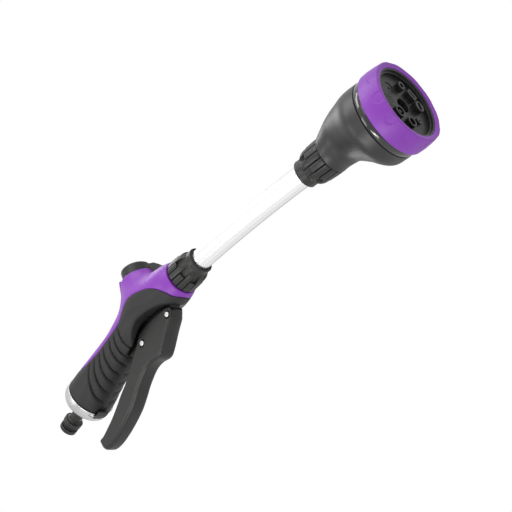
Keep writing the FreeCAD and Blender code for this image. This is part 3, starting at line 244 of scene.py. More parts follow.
HANDLE_FRAME = frame_matrix((0, 0, 0), (math.cos(HANDLE_TILT), 0, math.sin(HANDLE_TILT)),
                            (-math.sin(HANDLE_TILT), 0, math.cos(HANDLE_TILT)))
HEAD_FRAME = frame_matrix(HEAD_ORIGIN, HEAD_X, HEAD_Z)
DIAL_FRAME = frame_matrix(HEAD_ORIGIN - DIAL_DROP * HEAD_Z, HEAD_X, HEAD_Z)
# the lower nut points back towards the handle
LOWER_NUT_FRAME = frame_matrix((230.9, 0, LANCE_START[2]), (-1, 0, 0), (0, 0, 1))


# ---------------------------------------------------------------- mesh helpers
def make_object(name, points, quads, body, slot, node, matrix=None):
    """Smooth quad mesh from points in mm, standing in for one CAD node."""
    if matrix is not None:
        points = points @ matrix[:3, :3].T + matrix[:3, 3]
    points = points * MM
    # faces point outwards: the signed volume is positive
    a, b, c, d = (points[quads[:, i]] for i in range(4))
    volume = np.einsum("ij,ij->i", a, np.cross(b, c)).sum()
    volume += np.einsum("ij,ij->i", a, np.cross(c, d)).sum()
    if volume < 0:
        quads = quads[:, ::-1]
    mesh = bpy.data.meshes.new(name)
    mesh.vertices.add(len(points))
    mesh.vertices.foreach_set("co", points.astype(np.float32).ravel())
    mesh.loops.add(quads.size)
    mesh.loops.foreach_set("vertex_index", quads.astype(np.int32).ravel())
    mesh.polygons.add(len(quads))
    mesh.polygons.foreach_set("loop_start", np.arange(0, quads.size, 4, dtype=np.int32))
    mesh.polygons.foreach_set("loop_total", np.full(len(quads), 4, np.int32))
    mesh.polygons.foreach_set("use_smooth", np.ones(len(quads), bool))
    mesh.update(calc_edges=True)
    mesh.validate()
    mesh.materials.append(MATERIALS[slot])
    ob = bpy.data.objects.new(name, mesh)
    bpy.context.scene.collection.objects.link(ob)
    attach(ob, body)
    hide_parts(node)


def fillet(corners, segments=3):
    """Closed profile with rounded corners, from rows of (along, radius, rounding)."""
    points = np.array([row[:2] for row in corners], float)
    out = []
    for i, corner in enumerate(points):
        before, after = points[i - 1] - corner, points[(i + 1) % len(points)] - corner
        before_length, after_length = np.linalg.norm(before), np.linalg.norm(after)
        size = min(corners[i][2], 0.42 * before_length, 0.42 * after_length)
        if size <= 1e-4:
            out.append(corner)
            continue
        start = corner + before / before_length * size
        end = corner + after / after_length * size
        for k in range(segments + 1):
            t = k / segments
            out.append((1 - t) ** 2 * start + 2 * t * (1 - t) * corner + t * t * end)
    return np.array(out)


def densify(points, step):
    """Closed profile with its sides cut into pieces no longer than step."""
    out = []
    for a, b in zip(points, np.roll(points, -1, 0)):
        count = max(1, int(math.ceil(np.linalg.norm(b - a) / step)))
        out += [a + (b - a) * k / count for k in range(count)]
    return np.array(out)


def full_turn(count):
    return np.linspace(0, 2 * np.pi, count, endpoint=False)


def turned(along, radius, angle, lift=0.0):
    """Closed ring surface about X: along per row, angle per column, radius for each point."""
    along = np.broadcast_to(along[:, None], radius.shape)
    points = np.stack([along, radius * np.cos(angle), radius * np.sin(angle) + lift], -1)
    rows, columns = radius.shape
    i, j = np.meshgrid(np.arange(rows), np.arange(columns), indexing="ij")
    next_i, next_j = (i + 1) % rows, (j + 1) % columns
    quads = np.stack([i * columns + j, i * columns + next_j,
                      next_i * columns + next_j, next_i * columns + j], -1)
    return points.reshape(-1, 3), quads.reshape(-1, 4)


def mix(a, b, t):
    return a * (1 - t) + b * t


def smoothstep(low, high, x):
    t = np.clip((x - low) / (high - low), 0, 1)
    return t * t * (3 - 2 * t)


def pchip(xs, ys, x):
    """Monotone cubic interpolation."""
    xs, ys = np.asarray(xs, float), np.asarray(ys, float)
    gap = np.diff(xs)
    slope = np.diff(ys) / gap
    tangent = np.zeros_like(xs)
    tangent[0], tangent[-1] = slope[0], slope[-1]
    for i in range(1, len(xs) - 1):
        if slope[i - 1] * slope[i] > 0:
            before, after = 2 * gap[i] + gap[i - 1], gap[i] + 2 * gap[i - 1]
            tangent[i] = (before + after) / (before / slope[i - 1] + after / slope[i])
    k = np.clip(np.searchsorted(xs, x) - 1, 0, len(xs) - 2)
    t = (x - xs[k]) / gap[k]
    return ((1 + 2 * t) * (1 - t) ** 2 * ys[k] + t * (1 - t) ** 2 * gap[k] * tangent[k]
            + t * t * (3 - 2 * t) * ys[k + 1] + t * t * (t - 1) * gap[k] * tangent[k + 1])


def spline(xs, ys, x):
    """Natural cubic spline, carried on up to 8 mm past its ends."""
    xs, ys = np.asarray(xs, float), np.asarray(ys, float)
    count = len(xs)
    gap = np.diff(xs)
    system = np.eye(count)
    target = np.zeros(count)
    for i in range(1, count - 1):
        system[i, i - 1:i + 2] = gap[i - 1], 2 * (gap[i - 1] + gap[i]), gap[i]
        target[i] = 6 * ((ys[i + 1] - ys[i]) / gap[i] - (ys[i] - ys[i - 1]) / gap[i - 1])
    curl = np.linalg.solve(system, target)
    x = np.clip(x, xs[0] - 8, xs[-1] + 8)
    k = np.clip(np.searchsorted(xs, x) - 1, 0, count - 2)
    a, b = xs[k + 1] - x, x - xs[k]
    return ((curl[k] * a ** 3 + curl[k + 1] * b ** 3) / (6 * gap[k])
            + (ys[k] / gap[k] - curl[k] * gap[k] / 6) * a
            + (ys[k + 1] / gap[k] - curl[k + 1] * gap[k] / 6) * b)


# ---------------------------------------------------------------- fields, negative inside
def segments_distance(starts, ends, x, z):
    """Distance from the points (x, z) to the nearest of the segments."""
    best = np.full(np.broadcast_shapes(x.shape, z.shape), 1e18)
    for (ax, az), (bx, bz) in zip(starts, ends):
        ex, ez = bx - ax, bz - az
        t = np.clip(((x - ax) * ex + (z - az) * ez) / (ex * ex + ez * ez + 1e-12), 0, 1)
        dx, dz = x - ax - t * ex, z - az - t * ez
        best = np.minimum(best, dx * dx + dz * dz)
    return np.sqrt(best)


def polygon_distance(points, x, z):
    """Signed distance from the points (x, z) to a closed polygon."""
    starts = np.asarray(points, float)
    ends = np.roll(starts, -1, 0)
    distance = segments_distance(starts, ends, x, z)
    inside = np.zeros(distance.shape, bool)
    for (ax, az), (bx, bz) in zip(starts, ends):
        if az != bz:
            spans = (az > z) != (bz > z)
            inside ^= spans & (x < (bx - ax) * (z - az) / (bz - az) + ax)
    return np.where(inside, -distance, distance)


def curve_through(points, segments, closed=False):
    """Catmull-Rom curve through the points."""
    p = np.asarray(points, float)
    count = len(p)
    out = []
    for i in range(count if closed else count - 1):
        p1, p2 = p[i], p[(i + 1) % count]
        p0 = p[i - 1] if (closed or i > 0) else 2 * p1 - p2
        p3 = p[(i + 2) % count] if (closed or i + 2 < count) else 2 * p2 - p1
        for k in range(segments):
            t = k / segments
            out.append(0.5 * (2 * p1 + (p2 - p0) * t + (2 * p0 - 5 * p1 + 4 * p2 - p3) * t * t
                              + (3 * p1 - p0 - 3 * p2 + p3) * t ** 3))
    if not closed:
        out.append(p[-1])
    return np.array(out)


def join(*fields):
    return reduce(np.minimum, fields)


def meet(*fields):
    return reduce(np.maximum, fields)


def soft_join(a, b, width):
    t = np.clip(0.5 + 0.5 * (b - a) / width, 0, 1)
    return b + (a - b) * t - width * t * (1 - t)


def soft_meet(a, b, width):
    return -soft_join(-a, -b, width)


def rounded_meet(a, b, radius):
    """Overlap of two fields with the edge between them rounded."""
    a, b = a + radius, b + radius
    corner = np.sqrt(np.maximum(a, 0) ** 2 + np.maximum(b, 0) ** 2)
    return corner + np.minimum(np.maximum(a, b), 0) - radius


def surface_nets(field, axes, passes=3):
    """Closed quad mesh over the zero level of a field measured in cells."""
    field = field.astype(np.float32)
    size = np.array(field.shape)
    cells = tuple(size - 1)
    cell_count = int(np.prod(cells))
    total = np.zeros((cell_count, 3), np.float32)
    hits = np.zeros(cell_count, np.float32)

    def cell_beside(index, across, da, db):
        cell = index.copy()
        cell[:, across] -= (da, db)
        return cell

    # each cell's point is the mean of the crossings on its edges
    crossings = []
    for axis in range(3):
        start = np.argwhere(np.diff(field < 0, axis=axis))
        end = start.copy()
        end[:, axis] += 1
        start_value, end_value = field[tuple(start.T)], field[tuple(end.T)]
        place = start.astype(np.float32)
        place[:, axis] += start_value / (start_value - end_value)
        across = [k for k in range(3) if k != axis]
        for da in (0, 1):
            for db in (0, 1):
                cell = cell_beside(start, across, da, db)
                ok = (cell >= 0).all(1) & (cell < size - 1).all(1)
                flat = np.ravel_multi_index(tuple(cell[ok].T), cells)
                for k in range(3):
                    total[:, k] += np.bincount(
                        flat, weights=place[ok][:, k], minlength=cell_count).astype(np.float32)
                hits += np.bincount(flat, minlength=cell_count).astype(np.float32)
        if axis == 1:
            across = across[::-1]
        crossings.append((across, start, start_value < 0))
    active = hits > 0
    point_index = np.full(cell_count, -1, np.int64)
    point_index[active] = np.arange(active.sum())
    point_index = point_index.reshape(cells)
    points = total[active] / hits[active][:, None]

    # one quad round each crossed edge
    quads = []
    for across, start, leaving in crossings:
        ok = (start[:, across] > 0).all(1) & (start[:, across] < size[across] - 1).all(1)
        quad = np.stack([point_index[tuple(cell_beside(start[ok], across, da, db).T)]
                         for da, db in ((1, 1), (0, 1), (0, 0), (1, 0))], 1)
        entering = ~leaving[ok]
        quad[entering] = quad[entering][:, ::-1]
        quads.append(quad)
    quads = np.concatenate(quads)
    quads = quads[(quads >= 0).all(1)]

    # slide the points onto the surface
    for _ in range(passes):
        base = np.clip(np.floor(points).astype(int), 0, size - 2)
        i, j, k = base.T
        u, v, w = (points - base).T
        corners = np.array([[[field[i + a, j + b, k + c] for c in (0, 1)]
                             for b in (0, 1)] for a in (0, 1)])
        along_x = mix(*corners, u)
        along_y = mix(*along_x, v)
        value = mix(*along_y, w)
        gradient = np.stack([mix(*mix(*(corners[1] - corners[0]), v), w),
                             mix(*(along_x[1] - along_x[0]), w),
                             along_y[1] - along_y[0]], 1)
        steepness = np.maximum((gradient * gradient).sum(1), 1e-3)
        move = np.clip(value / steepness, -2, 2)[:, None] * gradient
        points = np.clip(points - np.clip(move, -0.35, 0.35), base, base + 1)
    places = [axis[0] + points[:, k] * (axis[1] - axis[0]) for k, axis in enumerate(axes)]
    return np.stack(places, 1), quads


def drop_islands(points, quads, keep=0.02):
    """Drops stray islands smaller than a share of the whole."""
    label = np.arange(len(points))
    for _ in range(60):
        low = label[quads].min(1)
        new = label.copy()
        for k in range(4):
            np.minimum.at(new, quads[:, k], low)
        new = new[new]
        if (new == label).all():
            break
        label = new
    labels, counts = np.unique(label, return_counts=True)
    good = np.isin(label, labels[counts >= keep * len(points)])
    index = np.full(len(points), -1)
    index[good] = np.arange(good.sum())
    return points[good], index[quads[good[quads[:, 0]]]]


class HalfGrid:
    """Even samples of the +Y half of a piece, which is mirrored when it is meshed."""

    def __init__(self, step, x_span, y_reach, z_span):
        self.step = step
        self.x = np.arange(x_span[0], x_span[1] + step, step, dtype=np.float32)
        self.y = np.arange(step / 2, y_reach + step, step, dtype=np.float32)
        self.z = np.arange(z_span[0], z_span[1] + step, step, dtype=np.float32)
        self.side_x, self.side_z = self.x[:, None], self.z[None, :]

    def axes(self):
        """The three coordinates, shaped to fill the grid together."""
        return self.x[:, None, None], self.y[None, :, None], self.z[None, None, :]

    def outline(self, points):
        """Signed side-view distance to a closed polygon."""
        return polygon_distance(points, self.side_x.astype(float),
                                self.side_z.astype(float)).astype(np.float32)

    def line(self, points):
        """Side-view distance to an open line."""
        return segments_distance(points[:-1], points[1:], self.side_x.astype(float),
                                 self.side_z.astype(float)).astype(np.float32)

    def from_centre(self, centre):
        """Side-view distance to a point."""
        dx, dz = self.side_x - centre[0], self.side_z - centre[1]
        return np.sqrt(dx * dx + dz * dz)

    def build(self, field, name, body, slot, node, matrix=None):
        field = np.clip(field, -3 * self.step, 3 * self.step)
        whole = np.concatenate([field[:, ::-1, :], field], 1) / self.step
        whole_y = np.concatenate([-self.y[::-1], self.y])
        points, quads = surface_nets(whole, (self.x, whole_y, self.z))
        make_object(name, *drop_islands(points, quads), body, slot, node, matrix)


# ---------------------------------------------------------------- spray head
BELL_SIDES = 192
BELL_START = 29.6
BELL_END = 83.4
BELL_WALL = 2.6
SEAT_END = 37.0
SEAT_RADIUS = 15.25
# distance along the head axis, lift of the centre, radius
BELL_ALONG, BELL_LIFT, BELL_RADIUS = zip(
    (29.6, 0.48, 16.97), (36.0, 2.73, 18.49), (41.0, 3.95, 20.01), (46.0, 4.70, 21.40),
    (51.0, 4.10, 23.44), (56.0, 2.63, 25.79), (61.0, 0.96, 28.32), (66.0, -1.20, 31.16),
    (72.0, -3.18, 33.40), (78.0, -3.54, 33.69), (83.4, -3.76, 33.66))
# distance along the dial axis, radius
TRIM_PROFILE = [(83.45, 30.4), (83.45, 32.7), (84.0, 33.3), (85.6, 33.6), (87.2, 33.62),
                (88.6, 33.4), (89.4, 32.9), (89.4, 30.4)]
TRIM_ROUNDING = 0.35
# distance along the dial axis, radius, corner rounding
DIAL_PROFILE = [
    (89.8, 33.6, 0.1), (89.8, 34.5, 0.35), (90.3, 35.05, 0.5), (95.8, 35.25, 3),
    (102.8, 34.75, 3), (107.55, 34.12, 0.1), (107.7, 33.85, 0.05), (107.95, 33.75, 0.2),
    (108.0, 33.2, 0.3), (107.5, 31.0, 1.0), (107.15, 29.75, 0.15), (106.8, 29.6, 0.1),
    (93.4, 29.6, 0), (93.4, 31.6, 0), (90.6, 31.6, 0), (90.6, 33.6, 0)]
DIAL_SIDES = 720
SCALLOP_PITCH = 30.0  # degrees
SCALLOP_PHASE = 7.0  # degrees
SCALLOP_DEPTH = 0.34
SCALLOP_END = 98.6


def make_bell():
    outer_x = np.linspace(BELL_START, BELL_END, 110)
    outer_r = spline(BELL_ALONG, BELL_RADIUS, outer_x)
    inner_x = np.linspace(BELL_END - 0.1, SEAT_END + 0.05, 50)
    inner_r = spline(BELL_ALONG, BELL_RADIUS, inner_x) - BELL_WALL
    profile = np.array(
        [(BELL_START, outer_r[0] - 0.5), (BELL_START + 0.2, outer_r[0] - 0.1)]
        + list(zip(outer_x[1:-1], outer_r[1:-1]))
        + [(BELL_END - 0.35, outer_r[-1] - 0.02), (BELL_END - 0.1, outer_r[-1] - 0.18),
           (BELL_END, outer_r[-1] - 0.6), (BELL_END, inner_r[0])]
        + list(zip(inner_x, inner_r))
        + [(SEAT_END, SEAT_RADIUS), (BELL_START, SEAT_RADIUS)])
    along = profile[:, 0]
    lift = spline(BELL_ALONG, BELL_LIFT, along)
    lift[-2:] = 0.0  # the seat stays on the head axis
    radius = np.repeat(profile[:, 1:], BELL_SIDES, 1)
    points, quads = turned(along, radius, full_turn(BELL_SIDES), lift[:, None])
    make_object("bell_housing_form", points, quads, "handle", "bell_black", "bell_housing",
                HEAD_FRAME)


def make_trim():
    profile = fillet([(*corner, TRIM_ROUNDING) for corner in TRIM_PROFILE])
    radius = np.repeat(profile[:, 1:], BELL_SIDES, 1)
    points, quads = turned(profile[:, 0], radius, full_turn(BELL_SIDES))
    make_object("trim_ring_form", points, quads, "handle", "gloss_black", "trim_ring",
                DIAL_FRAME)


def make_dial():
    profile = densify(fillet(DIAL_PROFILE), 0.6)
    angle = full_turn(DIAL_SIDES)
    along, radius = profile[:, :1], profile[:, 1:]
    # shallow finger scallops, open at the front and ending in a soft arc
    half_pitch = SCALLOP_PITCH / 2
    offset = (np.degrees(angle) - SCALLOP_PHASE + half_pitch) % SCALLOP_PITCH - half_pitch
    sides = 1 - smoothstep(5.9, 7.2, np.abs(offset))
    arc = SCALLOP_END + 0.06 * offset * offset
    outer = smoothstep(32.4, 33.6, radius)
    radius = radius - SCALLOP_DEPTH * sides * smoothstep(arc, arc + 2.2, along) * outer
    points, quads = turned(profile[:, 0], radius, angle)
    make_object("pattern_dial_form", points, quads, "dial", "purple_plastic", "pattern_dial",
                DIAL_FRAME)


# ---------------------------------------------------------------- collar nuts
RIB_PITCH = 22.5  # degrees
RIB_COUNT = 16
# mesh columns within one pitch, degrees
RIB_COLUMNS = np.array([0, 1.0, 1.45, 1.8, 2.15, 2.6, 3.4, 5.0, 7.6, 11.25, 14.9, 17.5, 19.1,
                        19.9, 20.35, 20.7, 21.05, 21.5])
SLEEVE_RADIUS = 12.05
# distance along the nut, radius
NUT_LEAD = [(0.0, 11.75), (0.05, 11.95), (0.2, 12.12), (0.45, 12.2)]
NUT_BORE = [(12.4, 11.92), (12.4, 9.8), (3.0, 9.8), (3.0, 11.35), (0.25, 11.35),
            (0.08, 11.42), (0.0, 11.55)]
# rib tops: distance along the nut, radius
UPPER_ENVELOPE = [(7.0, 12.3), (8.0, 13.5), (9.4, 14.7), (11.0, 15.3), (13.0, 15.75),
                  (20.0, 16.25), (27.0, 16.5), (28.6, 16.4), (29.5, 15.9)]
LOWER_ENVELOPE = [(5.0, 12.3), (6.2, 12.9), (8.0, 13.8), (10.0, 14.8), (14.0, 15.5),
                  (20.0, 15.85), (25.6, 16.0), (26.6, 15.9), (27.5, 15.5)]


def make_collar(name, node, matrix, length, step, envelope):
    """Nut with a plain sleeve up to step, then alternate long and short ribs."""
    degrees = np.concatenate([RIB_COLUMNS + RIB_PITCH * k for k in range(RIB_COUNT)])
    stations = np.unique(np.concatenate([
        np.linspace(0.9, step - 0.2, 8),
        step + np.array([0.0, 0.15, 0.3, 0.6, 1.0, 1.6, 2.3, 3.0, 3.6]),
        np.linspace(step + 4.2, 14.8, 8), [15.0, 15.2, 15.4, 15.6, 15.8, 16.0, 16.3, 16.7, 17.2],
        np.linspace(18, length - 1.6, 10),
        [length - 1.1, length - 0.7, length - 0.35, length - 0.1]]))
    x = stations[:, None]
    offset = degrees % RIB_PITCH - RIB_PITCH / 2
    long_rib = (degrees // RIB_PITCH).astype(int) % 2 == 0
    crest = pchip(*zip(*envelope), x)
    rib = 1 - smoothstep(9.1, 10.0, np.abs(offset))
    sleeve = SLEEVE_RADIUS + 0.12 * x / step
    # deep pockets turn into shallow grooves where the short ribs begin
    pocket = SLEEVE_RADIUS + 0.2 + 0.10 * np.maximum(x - step, 0)
    short_start = smoothstep(15.05, 15.75, x)
    floor_radius = mix(pocket, crest - 1.7, short_start)
    top = np.where(long_rib, crest, mix(pocket, crest, short_start))
    ribbed = floor_radius + (top - floor_radius) * rib
    # crown the ribs a little
    ribbed -= 0.10 * rib * (offset / 9.5) ** 2
    ribs_start = smoothstep(step - 0.1, step + 0.15, x)
    outer = mix(sleeve, np.maximum(ribbed, sleeve), ribs_start)
    # end face follows the ribs
    end_face = np.maximum(outer[-1:] - 0.25, 12.6)

    lead, bore = np.array(NUT_LEAD), np.array([(length, 11.92)] + NUT_BORE)
    along = np.concatenate([lead[:, 0], stations, [length], bore[:, 0]])
    radius = np.concatenate([np.repeat(lead[:, 1:], len(degrees), 1), outer, end_face,
                             np.repeat(bore[:, 1:], len(degrees), 1)])
    points, quads = turned(along, radius, np.radians(degrees))
    make_object(name, points, quads, "handle", "black_plastic", node, matrix)


make_bell()
make_trim()
make_dial()
make_collar("upper_collar_form", "upper_collar_nut", HEAD_FRAME,
            length=29.5, step=7.2, envelope=UPPER_ENVELOPE)
make_collar("lower_collar_form", "lower_collar_nut", LOWER_NUT_FRAME,
            length=27.5, step=5.4, envelope=LOWER_ENVELOPE)

# ---------------------------------------------------------------- handle and its soft grip
# skin: x, centre z, half height, half width
HANDLE_X, *HANDLE_SECTIONS = zip(
    (34.0, 8.3, 23.6, 22.9), (54.0, 13.2, 23.3, 22.6), (66.0, 16.8, 21.9, 21.6),
    (79.0, 20.7, 20.5, 20.5), (92.0, 24.4, 19.3, 19.7), (107.0, 28.3, 19.0, 19.3),
    (124.0, 32.7, 20.5, 19.8), (142.0, 36.8, 22.8, 20.6), (160.0, 40.2, 22.6, 21.2),
    (177.0, 42.5, 21.4, 21.0), (187.0, 42.7, 20.3, 20.2), (195.0, 42.7, 19.0, 19.0),
    (202.6, 42.7, 16.6, 16.6))
HANDLE_END = HANDLE_X[-1]
# the tables below are side views, (x, z)
TONGUE = [
    (183.1, 22.9), (186.1, 25.7), (189.1, 29.1), (187.1, 35.2), (116.7, 35.2), (111.7, 24.1),
    (113.7, 15.1), (120.8, 9.1), (127.8, 4.6), (136.9, 4.0), (146.9, 3.6), (157.0, 4.6),
    (166.0, 8.9), (176.7, 16.0), (179.5, 17.5), (182.5, 19.1)]
# seam between the shell above and the grip below
SEAM = [
    (28, 46), (46, 40), (52, 34.5), (60, 30.0), (70.3, 28.2), (80.9, 28.6), (91.2, 29.8),
    (101.7, 32.1), (111, 34.0), (120.5, 35.7), (130.2, 38.4), (136.3, 41.9), (141.9, 45.6),
    (147.3, 48.2), (153, 49.7), (161.7, 49.3), (169.9, 47.1), (176.8, 44.8), (182.5, 41.7),
    (187.2, 38.3), (190.8, 34.7), (193.7, 30.6), (196.4, 26.0), (206, 22.0)]
# top edge of the bay the trigger swings in
BAY = [
    (206, 14), (196, 22.0), (189, 23.2), (182.6, 25.9), (175.1, 27.6), (167.3, 28.6),
    (157.6, 28.9), (150.1, 28.2), (142.1, 25.0), (136.4, 21.2), (130.6, 16.5), (126.0, 12.5),
    (122, 4), (118, -12)]
CHEEK_SLOT = [
    (100.6, 3.3), (106.7, 7.6), (120.7, 16.1), (134.9, 25.4), (141.1, 28.4), (147.8, 29.4),
    (159.4, 29.4), (171.4, 28.0), (181.3, 25.8), (186.0, 22.0), (186.0, 4.0), (150.0, -6.0),
    (118.0, -8.0)]
LINER = [
    (206, 17.5), (197, 24.6), (190, 25.9), (183.5, 28.6), (175.6, 30.2), (167.6, 31.4),
    (157.4, 32.0), (147, 32.0), (139, 30.5), (131, 26.5), (118, 18.0), (104, 10.0), (98, 4.0),
    (98, -12.0), (206, -40)]
GRIP_GROOVES = [
    [(128.6, 40), (125.8, 26), (125.0, 19.8), (125.6, 15.0), (127.5, 8)],
    [(121.0, 38), (117.6, 27), (115.6, 20.1), (114.7, 14.8), (114.6, 6)],
    [(113.6, 36), (108.7, 23.4), (106.7, 15.6), (105.6, 10.4), (105.2, 4)],
    [(103.4, 34), (99.9, 25.8), (97.3, 16.9), (95.1, 10.2), (94.2, 6.0), (93.6, 0)],
    [(95.6, 30), (91.2, 21), (87.6, 13.1), (84.8, 5.6), (83.4, 1.8), (82.0, -6)],
    [(87.5, 29), (82.2, 19.4), (78.3, 11.0), (74.7, 2.8), (72.4, -2.0), (70.5, -9)],
    [(79.5, 28), (74.2, 19.0), (69.1, 8.7), (65.1, 0.5), (62.4, -6.4), (60.6, -13)]]
# ramp up the low X side of the tower, and the thin lip above it
RAMP_CURVE = [(105, 37), (111, 44.4), (117.3, 49.5), (123.3, 54.4), (128.4, 60.4),
              (132.4, 66.8), (135.4, 73.4)]
RAMP_CLOSING = [(146, 73.6), (150, 50), (150, 36)]
LIP_CURVE = [(136.4, 60.0), (133.0, 66), (133.4, 73), (134.9, 80.4)]
LIP_CLOSING = [(136.9, 80.1), (138.8, 74), (141, 60)]
TOWER_X = 153.0
TOWER_RADIUS = 17.1
TOWER_TOP = 74.0
TOWER_BORE_X = 152.0
TRIGGER_PIVOT = (179.5, 18.4)
DIMPLE = (57.2, 1.2, -8.7)
RING_END = 46.5  # along the handle axis
INNER_HALF_WIDTH = 5.45


def handle_hollows(cells, along, off_axis):
    """Rooms for the inner pieces."""
    x, y, z = cells.axes()
    duct_radius = np.where(along < 57.0, 9.45, 7.45)
    duct = meet(np.sqrt(off_axis ** 2 + y ** 2) - duct_radius, along - 150.0)
    front_radius = np.where(x < 190.0, 8.05, 11.9)
    front = meet(np.sqrt((z - LANCE_START[2]) ** 2 + y ** 2) - front_radius, 150.0 - x)
    tongue = meet(cells.outline(TONGUE)[:, None, :] - 0.05, y - INNER_HALF_WIDTH)
    from_pivot = cells.from_centre(TRIGGER_PIVOT)[:, None, :]
    pivot_room = meet(from_pivot - 3.85, y - INNER_HALF_WIDTH)
    from_bore = np.sqrt((x - TOWER_BORE_X) ** 2 + y ** 2)
    tower_room = meet(from_bore - 9.65, z - 58.05, 30.0 - z)
    gland = meet(from_bore - 7.55, 50.0 - z, z - 70)
    return join(duct, front, tongue, pivot_room, tower_room, gland, from_pivot - 2.85)


def grip_relief(cells, side):
    """Depth of the grip's grooves, which have wide shallow shoulders, and of a dimple."""
    x, y, z = cells.axes()
    fade = smoothstep(0.5, 4.0, y) * smoothstep(0.0, 5.0, -side)
    depth = np.zeros((len(cells.x), len(cells.z)), np.float32)
    for groove in GRIP_GROOVES:
        away = cells.line(curve_through(groove, 6))
        depth = np.maximum(
            depth, 1.55 * np.exp(-(away / 0.72) ** 2) + 0.42 * np.exp(-(away / 2.2) ** 2))
    dimple_x, dimple_y, dimple_z = DIMPLE
    square = (x - dimple_x) ** 2 + (y - dimple_y) ** 2 + (z - dimple_z) ** 2
    return depth[:, None, :] * fade + 1.3 * np.exp(-square / 5.0)


def make_handle():
    cells = HalfGrid(0.62, (29.0, 205.2), 25.4, (-22.0, 84.0))
    x, y, z = cells.axes()
    centre, half_height, half_width = (
        spline(HANDLE_X, column, cells.x.astype(float)).astype(np.float32)[:, None, None]
        for column in HANDLE_SECTIONS)

    def skin(inset):
        height, width = half_height - inset, half_width - inset
        dz = z - centre
        reach = np.sqrt((dz / height) ** 2 + (y / width) ** 2) + 1e-4
        slope = np.sqrt((dz / height ** 2) ** 2 + (y / width ** 2) ** 2) / reach + 1e-4
        return (reach - 1) / slope

    def plate(curve, closing, segments, half, rounding):
        outline = cells.outline(np.vstack([curve_through(curve, segments), closing]))
        return rounded_meet(outline[:, None, :], y - half, rounding)

    # envelope
    from_tower = np.sqrt((x - TOWER_X) ** 2 + y ** 2)
    tower = meet(rounded_meet(from_tower - TOWER_RADIUS, z - TOWER_TOP, 1.2), 44.0 - z)
    ramp = plate(RAMP_CURVE, RAMP_CLOSING, segments=6, half=11.0, rounding=6.0)
    lip = plate(LIP_CURVE, LIP_CLOSING, segments=5, half=9.0, rounding=0.9)
    envelope = soft_join(skin(0.0), tower, 15.0)
    envelope = soft_join(envelope, ramp, 6.0)
    envelope = soft_join(envelope, lip, 1.6)
    envelope = meet(envelope, x - HANDLE_END)
    to_axis = HANDLE_FRAME[:, [0, 2]]
    along = (cells.side_x * to_axis[0, 0] + cells.side_z * to_axis[2, 0])[:, None, :]
    off_axis = (cells.side_x * to_axis[0, 1] + cells.side_z * to_axis[2, 1])[:, None, :]
    envelope = soft_meet(-(along - (RING_END + 0.05)), envelope, 0.9)

    # seam between the two mouldings, and the trigger's bay with a web left in it
    side = cells.outline(np.vstack([curve_through(SEAM, 5), [(206, -70), (28, -70)]]))
    side = side[:, None, :]
    seam = 0.35 * np.exp(-(side / 0.5) ** 2)
    bay = cells.outline(np.vstack([curve_through(BAY, 5), [(206, -40)]]))[:, None, :]
    web = cells.outline(TONGUE[:3] + [(196, 60), (100, 60)] + TONGUE[5:])[:, None, :]
    bay = meet(bay, -meet(web, y - 5.4))
    cheek = meet(cells.outline(CHEEK_SLOT)[:, None, :], y - 8.85)
    well = meet(np.sqrt((x - TOWER_BORE_X) ** 2 + y ** 2) - 14.6, 65.0 - z)

    # the bay's edge is rolled
    outside = soft_meet(envelope + seam, -well, 1.1)
    outside = soft_meet(outside + grip_relief(cells, side) * (side < 0), -bay, 1.8)
    outside = soft_meet(outside, -cheek, 1.0)
    outside = meet(outside, -handle_hollows(cells, along, off_axis))
    core = meet(join(skin(2.4), tower), -cells.outline(LINER)[:, None, :])
    grip_only = meet(side, -core)
    for field, name, slot, node in (
            (meet(outside, grip_only), "grip_sleeve_form", "black_rubber", "grip_sleeve"),
            (meet(outside, -grip_only + 0.03), "handle_shell_form", "purple_plastic",
             "handle_shell")):
        # close the surface at the limits of the grid
        for border in (np.s_[:, -1, :], np.s_[0], np.s_[-1], np.s_[:, :, 0], np.s_[:, :, -1]):
            field[border] = np.maximum(field[border], 0.1)
        cells.build(field, name, "handle", slot, node)


def make_ring():
    """Base ring: turned trim with a rolled lip and the lock clip's slot."""
    cells = HalfGrid(0.42, (32.4, 48.4), 27.2, (-27.2, 25.6))
    x, y, z = (axis.astype(float) for axis in cells.axes())
    end = RING_END
    # distance along the handle axis, radius, corner rounding
    profile = fillet([
        (34.0, 10.4, 0.5), (end - 3, 10.4, 0), (end - 3, 20.7, 0), (end, 20.7, 0.1),
        (end, 23.75, 0.3), (end - 0.5, 23.95, 0.3), (end - 5.2, 23.85, 2.5),
        (end - 8.6, 23.0, 2.5), (35.6, 21.5, 0.8), (34.4, 20.4, 0.5), (34.0, 19.6, 0.5)])
    field = polygon_distance(profile, x, np.sqrt(y * y + z * z))
    slot = meet(y - 5.6, (end - 5.7) - x, z + 20.0)
    field = soft_meet(field, -slot, 0.5)
    pin_hole = np.sqrt((x - (end - 2.9)) ** 2 + (z + 22.3) ** 2) - 1.3
    cells.build(meet(field, -pin_hole), "base_ring_form", "handle", "bright_trim", "base_ring",
                HANDLE_FRAME)


